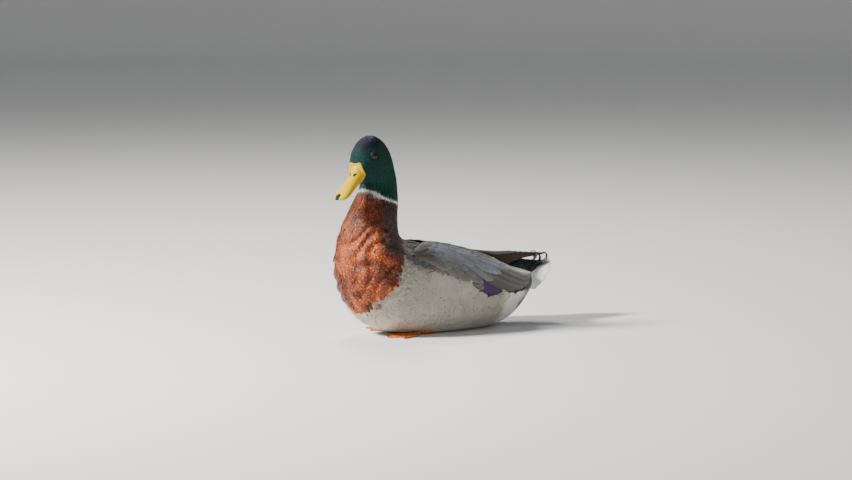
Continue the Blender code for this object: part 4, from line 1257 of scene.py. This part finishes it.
def make_curls(label, side, material):
    """The drake's curled feathers: two black ribbons that turn up and forward over the tail."""
    rng = np.random.default_rng(110 + side)
    groups = []
    for k, (middle, turns_at, radius, sweep) in enumerate(CURLS):
        path = [(f, TAIL_ROOT[1] + (TAIL_ROOT[0] - f) * math.sin(TAIL_RISE) + 3.4)
                for f in np.linspace(CURL_ROOT, turns_at, 8)]
        height = path[-1][1] + radius
        for angle in np.linspace(0, math.radians(sweep), 24)[1:]:
            reach = radius * (1 - 0.12 * angle / math.pi)
            path.append((turns_at - reach * math.sin(angle), height - reach * math.cos(angle)))
        path = np.array(path)
        ahead = np.gradient(path, axis=0)
        ahead /= np.linalg.norm(ahead, axis=1)[:, None]
        s, t = np.meshgrid(np.linspace(0, 1, len(path)), np.linspace(-1, 1, 7), indexing="ij")
        half = CURL_HALF_WIDTH * (1 - 0.75 * s**2.2)
        lift = 0.7 * (1 - t * t)
        f = path[:, 0, None] - ahead[:, 1, None] * lift
        z = path[:, 1, None] + ahead[:, 0, None] * lift
        points = on_side(f, side * (middle + 1.6 * s + half * t), z)[None]
        if side < 0:
            points = points[:, :, ::-1]
        v = Vanes(points, s[None], t[None], np.array([[-40.0 - 5 * k, 0.1 * side]]), np.array([60.0]), rng)
        groups.append(v.paint(BLACK, np.array(BLACK) * 2.5, 0.0, 0.15))
    coat("curl_feathers_" + label, groups, material["black"], fan_unwrap, ["curl_" + label])


# ------------------------------------------------------------------ eyes
GAZE_FORWARD, GAZE_UP = 0.14, 0.06  # how an eye looks forward and up, to 1 outwards
CORNEA = 0.02  # how far it stands out, as a share of the eyeball's radius
LID_OPENING = (4.75, 3.95)  # half its length and half its height
# The lids from the opening outwards: away from it, and out from the ball. A rim, then two folds.
LIDS = [(-0.05, -0.5), (-0.05, 0.08), (0.08, 0.28), (0.3, 0.36), (0.55, 0.30), (0.75, 0.08), (0.95, 0.12)]
LIDS += [(1.25, 0.0), (1.7, -0.45), (2.2, -1.1), (2.6, -2.2)]


def eye_frame(side):
    """The eyeball's centre, and the ways out of the head, forward and up from it."""
    low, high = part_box("eye_left" if side > 0 else "eye_right")
    centre = np.array((low + high) / 2) / MM
    origin = in_head(0.0, 0.0, 0.0)
    forward, left, up = (in_head(*way) - origin for way in np.eye(3))
    out = side * left + GAZE_FORWARD * forward + GAZE_UP * up
    out /= np.linalg.norm(out)
    forward = forward - (forward @ out) * out
    forward /= np.linalg.norm(forward)
    up = np.cross(out, forward) * (1 if np.cross(out, forward) @ up > 0 else -1)
    return centre, out, forward, up


def by_eye(points, side):
    """How far points lie out along an eye's gaze and off its line, and the gaze."""
    centre, gaze = eye_frame(side)[:2]
    away = points - centre
    deep = (away * gaze).sum(-1)
    return deep, np.sqrt(np.maximum((away**2).sum(-1) - deep**2, 0)), gaze


def make_eye(label, side, material):
    centre, out, ahead, up = eye_frame(side)
    rows, columns = 49, 96
    tilt = np.linspace(0, math.pi, rows)[:, None]
    turn = np.linspace(0, TURN, columns, endpoint=False)
    bulge = EYE_RADIUS * (1 + CORNEA * np.exp(-((tilt / 0.5) ** 2)))
    points = centre + (bulge * np.cos(tilt))[..., None] * out
    points = points + (bulge * np.sin(tilt) * np.cos(turn))[..., None] * ahead
    points = points + (bulge * np.sin(tilt) * np.sin(turn))[..., None] * up
    mesh = face_mesh(f"eyeball_{label}", points, grid_faces(rows, columns, True))
    gaze = np.repeat(np.sin(np.minimum(tilt, math.pi / 2)), columns, 1).ravel()
    add_attribute(mesh, "gaze", np.stack([gaze, gaze, gaze], axis=1))
    make_object(mesh, material["eye"], ["eye_" + label])

    # the lids: an almond opening, a rounded rim, then folds falling back to the face
    opening = 1 / np.hypot(np.cos(turn) / LID_OPENING[0], np.sin(turn) / LID_OPENING[1])
    opening = opening + 0.25 * np.cos(turn) ** 8
    on_ball = np.sqrt(EYE_RADIUS**2 - opening**2)
    rings = []
    for away, rise in LIDS:
        radius = opening + away
        ring = centre + (on_ball + rise - 0.05 * away**2)[:, None] * out
        rings.append(ring + (radius * np.cos(turn))[:, None] * ahead + (radius * np.sin(turn))[:, None] * up)
    faces = grid_faces(len(rings), columns, True)
    mesh = face_mesh(f"eyelids_{label}", np.array(rings), faces, outward=False)
    if sum((Vector(out).dot(p.normal) * p.area for p in mesh.polygons), 0.0) < 0:
        mesh.flip_normals()
    make_object(mesh, material["lid"])


# ------------------------------------------------------------------ bill
NAIL_FORWARD, NAIL_HALF_LENGTH, NAIL_HALF_WIDTH = 80.8, 5.2, 3.5
NOSTRIL_FORWARD, NOSTRIL_UP, NOSTRIL_SLANT = 41.5, 0.6, 0.9
# How the bill's base spreads on the face, from its top to the mouth: share, forward, across, up.
BILL_BASE = [
    (0, 30.3, 0.0, 10.8),
    (0.25, 29.8, 5.2, 11.2),
    (0.45, 28.0, 8.2, 12.0),
    (0.7, 30.2, 10.2, 3.0),
    (1.0, 29.2, 10.0, -6.4),
]


BILL_YELLOW, BILL_GREEN, BILL_DULL = (0.50, 0.32, 0.0), (0.42, 0.34, 0.0), (0.34, 0.22, 0.0)
BILL_ORANGE, NAIL, NOSTRIL = (0.82, 0.34, 0.0), (0.004, 0.004, 0.003), (0.015, 0.010, 0.006)
MOUTH_LINE, JAW_COLOUR = (0.10, 0.075, 0.02), (0.30, 0.19, 0.035)


def on_nail(forward, across):
    """0 at the middle of the nail at the bill's tip and 1 at its edge."""
    return ((forward - NAIL_FORWARD) / NAIL_HALF_LENGTH) ** 2 + (across / NAIL_HALF_WIDTH) ** 2


def on_nostril(forward, up, long, high):
    """0 at the middle of a nostril and 1 at its edge, at half its length and half its height."""
    slanted = forward - NOSTRIL_FORWARD + NOSTRIL_SLANT * (up - 0.5)
    return (slanted / long) ** 2 + ((up - NOSTRIL_UP) / high) ** 2


def bill_colours(forward, across, up, top):
    """The bill's colours: yellow, orange at the mouth's corner, greener at the tip and dull at the base.
    Its top has the black nail and the nostrils."""
    tint = np.ones((*np.shape(forward), 1)) * BILL_YELLOW
    tint = blend(tint, BILL_ORANGE, 0.6 * smooth_step((-3.0 - up - 0.10 * (forward - 26)) / 4))
    tint = blend(tint, BILL_GREEN, 0.7 * smooth_step((forward - 68) / 12))
    tint = blend(tint, BILL_DULL, 0.5 * (1 - smooth_step((forward - 26) / 8)))
    if not top:
        return blend(tint, JAW_COLOUR, 0.6)
    tint = blend(tint, NAIL, 1 - smooth_step((on_nail(forward, across) - 0.85) / 0.4))
    nostril = 1 - smooth_step((on_nostril(forward, up, 2.6, 1.0) - 0.6) / 0.9)
    return blend(tint, NOSTRIL, nostril * (np.abs(across) > 2))


def bill_curves(rows, columns, edge, inset=0.0):
    """Rows of places along one half of the bill, with the mouth's line, the other edge and half the
    width at each, and the columns across it as shares from -1 to 1 and as angles."""
    place = np.linspace(0, len(edge) - 1, rows)
    half = spline([[w] for w in BILL_HALF_WIDTHS], place)[:, 0] - inset
    v = np.linspace(-1, 1, columns)
    return place, spline(MOUTH, place), spline(edge, place), half, v, v[None] * math.pi / 2


def add_bill(name, ring, tint, material, node):
    mesh = tube(name, ring)
    add_attribute(mesh, "tint", tint)
    make_object(mesh, material["bill"], [node])


def lay_on_face(points, place):
    """Draws the bill's base onto the head's solid, and smooths it there."""
    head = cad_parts["head"].data
    corners = [tuple(v.co / MM) for v in head.vertices]
    tree = BVHTree.FromPolygons(corners, [tuple(p.vertices) for p in head.polygons])
    near_face = np.flatnonzero(place < 2.6)
    for turns in range(3):
        for i in near_face:
            gap = -0.3 if i == 0 else 0.42 * min(1.0, i / 3)
            for j in range(points.shape[1]):
                near, normal, _, _ = tree.find_nearest(Vector(points[i, j]))
                if i == 0 or np.array(points[i, j] - near) @ normal < gap:
                    points[i, j] = np.array(near) + gap * np.array(normal)
        if turns < 2:
            inner = near_face[1:]
            points[inner] = (points[inner - 1] + 2 * points[inner] + points[inner + 1]) / 4
            for _ in range(3):
                beside = points[near_face, :-2] + points[near_face, 2:]
                points[near_face, 1:-1] = (beside + 2 * points[near_face, 1:-1]) / 4


def make_bill_top(material):
    place, low, high, half, v, theta = bill_curves(130, 73, CULMEN)
    share = np.cos(theta) ** np.interp(place, [0, 2, 4, 6, 8], [0.95, 1.02, 0.86, 0.66, 0.6])[:, None]
    forward = low[:, :1] + (high - low)[:, :1] * share
    up = low[:, 1:] + (high - low)[:, 1:] * share
    lip = smooth_step((np.abs(v) - 0.86) / 0.1)[None]
    across = (half[:, None] + 0.35 * lip) * np.sin(theta)
    # the nail rises a little, and the nostrils are let into the sides
    up = up + 0.55 * (1 - smooth_step((on_nail(forward, across) - 0.6) / 0.5))
    dent = (1 - smooth_step((on_nostril(forward, up, 3.0, 1.25) - 0.3) / 0.8)) * (np.abs(across) > 2)
    fossa = np.exp(-(((forward - 41) / 8) ** 2) - ((up - 0.2) / 3.0) ** 2) * (np.abs(across) > 1)
    across = across * (1 - 0.15 * dent - 0.05 * fossa)
    points = in_head(forward, across, up)

    # the base spreads onto the face as a thin sheath, with two prongs beside the forehead's feathers
    shares, *columns = np.array(BILL_BASE).T
    forward, reach, height = (np.interp(np.abs(v), shares, column) for column in columns)
    base = in_head(forward, np.sign(v) * reach, height)
    fade = (1 - smooth_step(place / 0.9))[:, None, None]
    points = points * (1 - fade) + base[None] * fade
    lay_on_face(points, place)

    # the underside closes it: a palate a little above the mouth's line
    roof = np.cos(theta[0, ::-1]) ** 0.6
    across = half[:, None] * 0.94 * v[None, ::-1]
    inner = in_head(low[:, :1] + 0 * roof, across, low[:, 1:] + 0.2 + 0.5 * roof)
    ring = np.concatenate([points, inner], axis=1)
    tip = ring[-1].mean(0)
    end = tip + (in_head(86.2, 0, -9.9) - tip) * 0.9
    ring = np.concatenate([ring, (ring[-1] * 0.45 + end * 0.55)[None]])
    tint = bill_colours(*from_head(ring), True)
    mouth = smooth_step((np.abs(np.concatenate([v, np.ones(len(v))])) - 0.955) / 0.03)[None]
    tint = blend(tint, MOUTH_LINE, 0.55 * np.broadcast_to(mouth, tint.shape[:2]))
    add_bill("bill_top", ring, tint, material, "bill_upper")


def make_bill_under(material):
    place, low, jaw, half, v, theta = bill_curves(90, 41, JAW, JAW_INSET)
    low = low - (0, 0.3)
    share = np.cos(theta) ** 0.7
    groove = 0.5 * np.exp(-((v / 0.3) ** 2))[None] * np.interp(place, [0, 3, 6], [1, 1, 0])[:, None]
    forward = low[:, :1] + (jaw - low)[:, :1] * share
    up = low[:, 1:] + (jaw - low)[:, 1:] * share + groove
    points = in_head(forward, half[:, None] * np.sin(theta), up)
    across = half[:, None] * 0.92 * v[None, ::-1]
    inner = in_head(low[:, :1] + 0 * theta, across, low[:, 1:] - 0.15 + 0 * theta)
    ring = np.concatenate([points, inner], axis=1)
    add_bill("bill_under", ring, bill_colours(*from_head(ring), False), material, "bill_lower")


# ------------------------------------------------------------------ feet
WEB_CUT = 0.17  # how far the web's edge is cut in between toes, as a share of their length
KNUCKLE_HEIGHT = 5.4
SCUTE_LENGTH, SCUTE_DEPTH = 2.4, 0.28
JOINT_GAP, JOINT_RISE = 15.0, 0.25  # the swellings along a toe
SOLE_HEIGHT = 0.1


def foot_grids(side):
    """The top and the sole of a webbed foot, with scutes across each toe."""
    toe_angles, toe_lengths = np.array(TOES).T
    ways = np.linspace(toe_angles[0] - 5, toe_angles[-1] + 5, 121)[:, None]
    steps = np.linspace(0.0, 1.0, 90)[None]
    gap = np.min(np.abs(ways - toe_angles), axis=1)[:, None]
    web = 1 - WEB_CUT * smooth_step((gap - 2.0) / 9.0)
    outside = (ways < toe_angles[0]) | (ways > toe_angles[-1])
    reach = np.interp(ways, toe_angles, toe_lengths) * web * np.where(outside, 1 - 0.5 * gap / 5.0, 1.0)
    radius = 2.0 + steps * (reach - 2.0)
    crest = np.exp(-((radius * np.radians(gap) / 2.6) ** 2))
    top = WEB_THICKNESS + (TOE_HEIGHT - WEB_THICKNESS) * crest * (1 - 0.45 * steps)
    knuckle = np.minimum(TOE_HEIGHT + 2.0 * (1 - steps) ** 4, KNUCKLE_HEIGHT)
    top = np.maximum(top, knuckle * (1 - smooth_step(steps / 0.22)))
    scutes = np.abs(np.sin(radius * math.pi / SCUTE_LENGTH)) ** 0.5
    top = top - SCUTE_DEPTH * (1 - scutes) * crest
    joints = np.cos(radius * TURN / JOINT_GAP)
    top = top + JOINT_RISE * joints * crest * (steps > 0.1)
    top = top - 0.45 * (1 - crest) * smooth_step((steps - 0.15) / 0.2)
    heel_f, heel_across = FOOT_HEELS[side]
    f = heel_f + radius * np.cos(np.radians(ways))
    across = heel_across + radius * np.sin(np.radians(ways))
    rim = 0.45 * np.maximum(smooth_step((steps - 0.97) / 0.03), outside * (gap / 5.0) ** 4)
    top = top * (1 - rim)
    return on_side(f, side * across, top), on_side(f, side * across, np.full_like(top, SOLE_HEIGHT))


def make_foot(label, side, material):
    top, sole = foot_grids(side)
    rows, columns = top.shape[:2]
    under = rows * columns
    faces = grid_faces(rows, columns)
    faces += [tuple(under + q for q in reversed(face)) for face in faces]
    number = np.arange(under).reshape(rows, columns)
    border = [*number[0], *number[1:, -1], *number[-1, -2::-1], *number[-2:0:-1, 0]]
    faces += [(a, b, under + b, under + a) for a, b in zip(border, border[1:] + border[:1])]
    mesh = face_mesh(f"webbed_foot_{label}", np.concatenate([top.reshape(-1, 3), sole.reshape(-1, 3)]), faces)
    make_object(mesh, material["foot"], ["foot_" + label])

    heel_f, heel_across = FOOT_HEELS[side]
    heel, upright = on_side(heel_f, side * heel_across, 0.0), np.array([0, 0, 1.0])
    turn = np.linspace(0, TURN, 14, endpoint=False)[:, None]
    for k, (degrees, length) in enumerate(TOES):
        way = np.array([side * math.sin(math.radians(degrees)), -math.cos(math.radians(degrees)), 0.0])
        level = np.cross(way, upright)
        rings = []
        for share in np.linspace(0, 1, 9):
            centre = heel + way * (length - 2.6 + 4.6 * share) + upright * (1.9 - 1.2 * share**2)
            radius = 1.15 * (1 - share) ** 0.7 + 0.06
            rings.append(centre + radius * (np.cos(turn) * level * 0.8 + np.sin(turn) * upright))
        make_object(tube(f"claw_{label}_{k}", np.array(rings)), material["claw"])


# ------------------------------------------------------------------ stage, lights and camera, in metres
STAGE_RADIUS, STAGE_CORNER, STAGE_WALL = 7.0, 1.5, 5.0
STAGE_COLOUR = (0.72, 0.72, 0.71)
STAGE_DROP = 0.0003  # how far the stage lies below z = 0
LIGHT_TARGET = (0.0, -0.03, 0.12)
# Each light's way from the bird: towards the camera, to its right and up. Its size, watts and colour.
LIGHTS = {
    "key_light": (0.72, -1.70, 1.45, 0.40, 165, (1.0, 0.95, 0.88)),
    "fill_light": (1.9, 1.0, 0.9, 2.0, 8, (0.88, 0.94, 1.0)),
    "back_light": (-1.6, -0.4, 2.1, 0.9, 50, (1.0, 0.98, 0.95)),
}
SKY_COLOUR, SKY_STRENGTH = (0.80, 0.86, 0.95, 1.0), 0.26
VIEW_AZIMUTH = math.radians(50.0)
VIEW_ELEVATION = math.radians(6.0)
VIEW_DISTANCE = 6.0
VIEW_AIM = (-0.0195, 0.1179)  # to the right of the model's origin and above it, as the camera sees it
FRAME_WIDTH = 1.136  # across the picture at the bird
SENSOR = 36.0  # millimetres


def make_stage():
    """A pale floor that curves up into a backdrop behind the bird, and round it on every side."""
    flat = STAGE_RADIUS - STAGE_CORNER
    profile = [(0.6, 0.0), (2.0, 0.0), (flat, 0.0)]
    for angle in np.linspace(0, math.pi / 2, 13)[1:]:
        profile.append((flat + STAGE_CORNER * math.sin(angle), STAGE_CORNER - STAGE_CORNER * math.cos(angle)))
    profile.append((STAGE_RADIUS, STAGE_WALL))
    sides = 96
    turn = np.linspace(0, TURN, sides, endpoint=False)
    points = [(r * math.cos(a), r * math.sin(a), z - STAGE_DROP) for r, z in profile for a in turn]
    faces = grid_faces(len(profile), sides, True)
    faces += [(len(points), (j + 1) % sides, j) for j in range(sides)]
    points.append((0.0, 0.0, -STAGE_DROP))
    mesh = face_mesh("backdrop", np.array(points) / MM, faces, outward=False)
    darker = tuple(c * 0.96 for c in STAGE_COLOUR)
    mesh.materials.append(mottled("pale_stage", (60.0, 4.0), darker, STAGE_COLOUR, Roughness=0.85))
    show("backdrop", mesh)


def view_axes():
    a, e = VIEW_AZIMUTH, VIEW_ELEVATION
    right = np.array([math.cos(a), math.sin(a), 0.0])
    towards = np.array([math.sin(a) * math.cos(e), -math.cos(a) * math.cos(e), math.sin(e)])
    return right, towards, np.cross(towards, right)


def make_lights():
    right, towards, _ = view_axes()
    level = np.array([towards[0], towards[1], 0.0]) / math.hypot(towards[0], towards[1])
    for name, (nearer, aside, above, size, power, colour) in LIGHTS.items():
        place = level * nearer + right * aside + np.array([0, 0, 1.0]) * above
        light = bpy.data.lights.new(name, "AREA")
        light.shape, light.size = "DISK", size
        light.energy, light.color = power, colour
        obj = show(name, light)
        obj.location = tuple(place)
        obj.rotation_euler = (Vector(LIGHT_TARGET) - Vector(place)).to_track_quat("-Z", "Y").to_euler()
    world = bpy.data.worlds.new("studio")
    bpy.context.scene.world = world
    world.use_nodes = True
    colour, strength = world.node_tree.nodes["Background"].inputs[:2]
    colour.default_value, strength.default_value = SKY_COLOUR, SKY_STRENGTH


def make_camera():
    right, towards, up = view_axes()
    data = bpy.data.cameras.new("camera")
    data.sensor_width = SENSOR
    data.lens = SENSOR * VIEW_DISTANCE / FRAME_WIDTH
    data.clip_start, data.clip_end = 0.1, 60.0
    obj = show("camera", data)
    facing = Matrix((right, up, towards)).transposed().to_4x4()
    facing.translation = Vector(VIEW_AIM[0] * right + VIEW_AIM[1] * up + towards * VIEW_DISTANCE)
    obj.matrix_world = facing
    bpy.context.scene.camera = obj


def main():
    make_camera()
    make_stage()
    make_lights()
    material = make_materials()
    for label, side in SIDES:
        make_eye(label, side, material)
    make_skin(material["skin"])
    make_bill_top(material)
    make_bill_under(material)
    make_coat(material)
    make_tail(material)
    for label, side in SIDES:
        make_wing(label, side, material)
        make_primaries(label, side, material)
        make_curls(label, side, material)
        make_foot(label, side, material)
        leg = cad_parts["leg_" + label].data
        leg.materials.clear()
        leg.materials.append(material["foot"])


main()
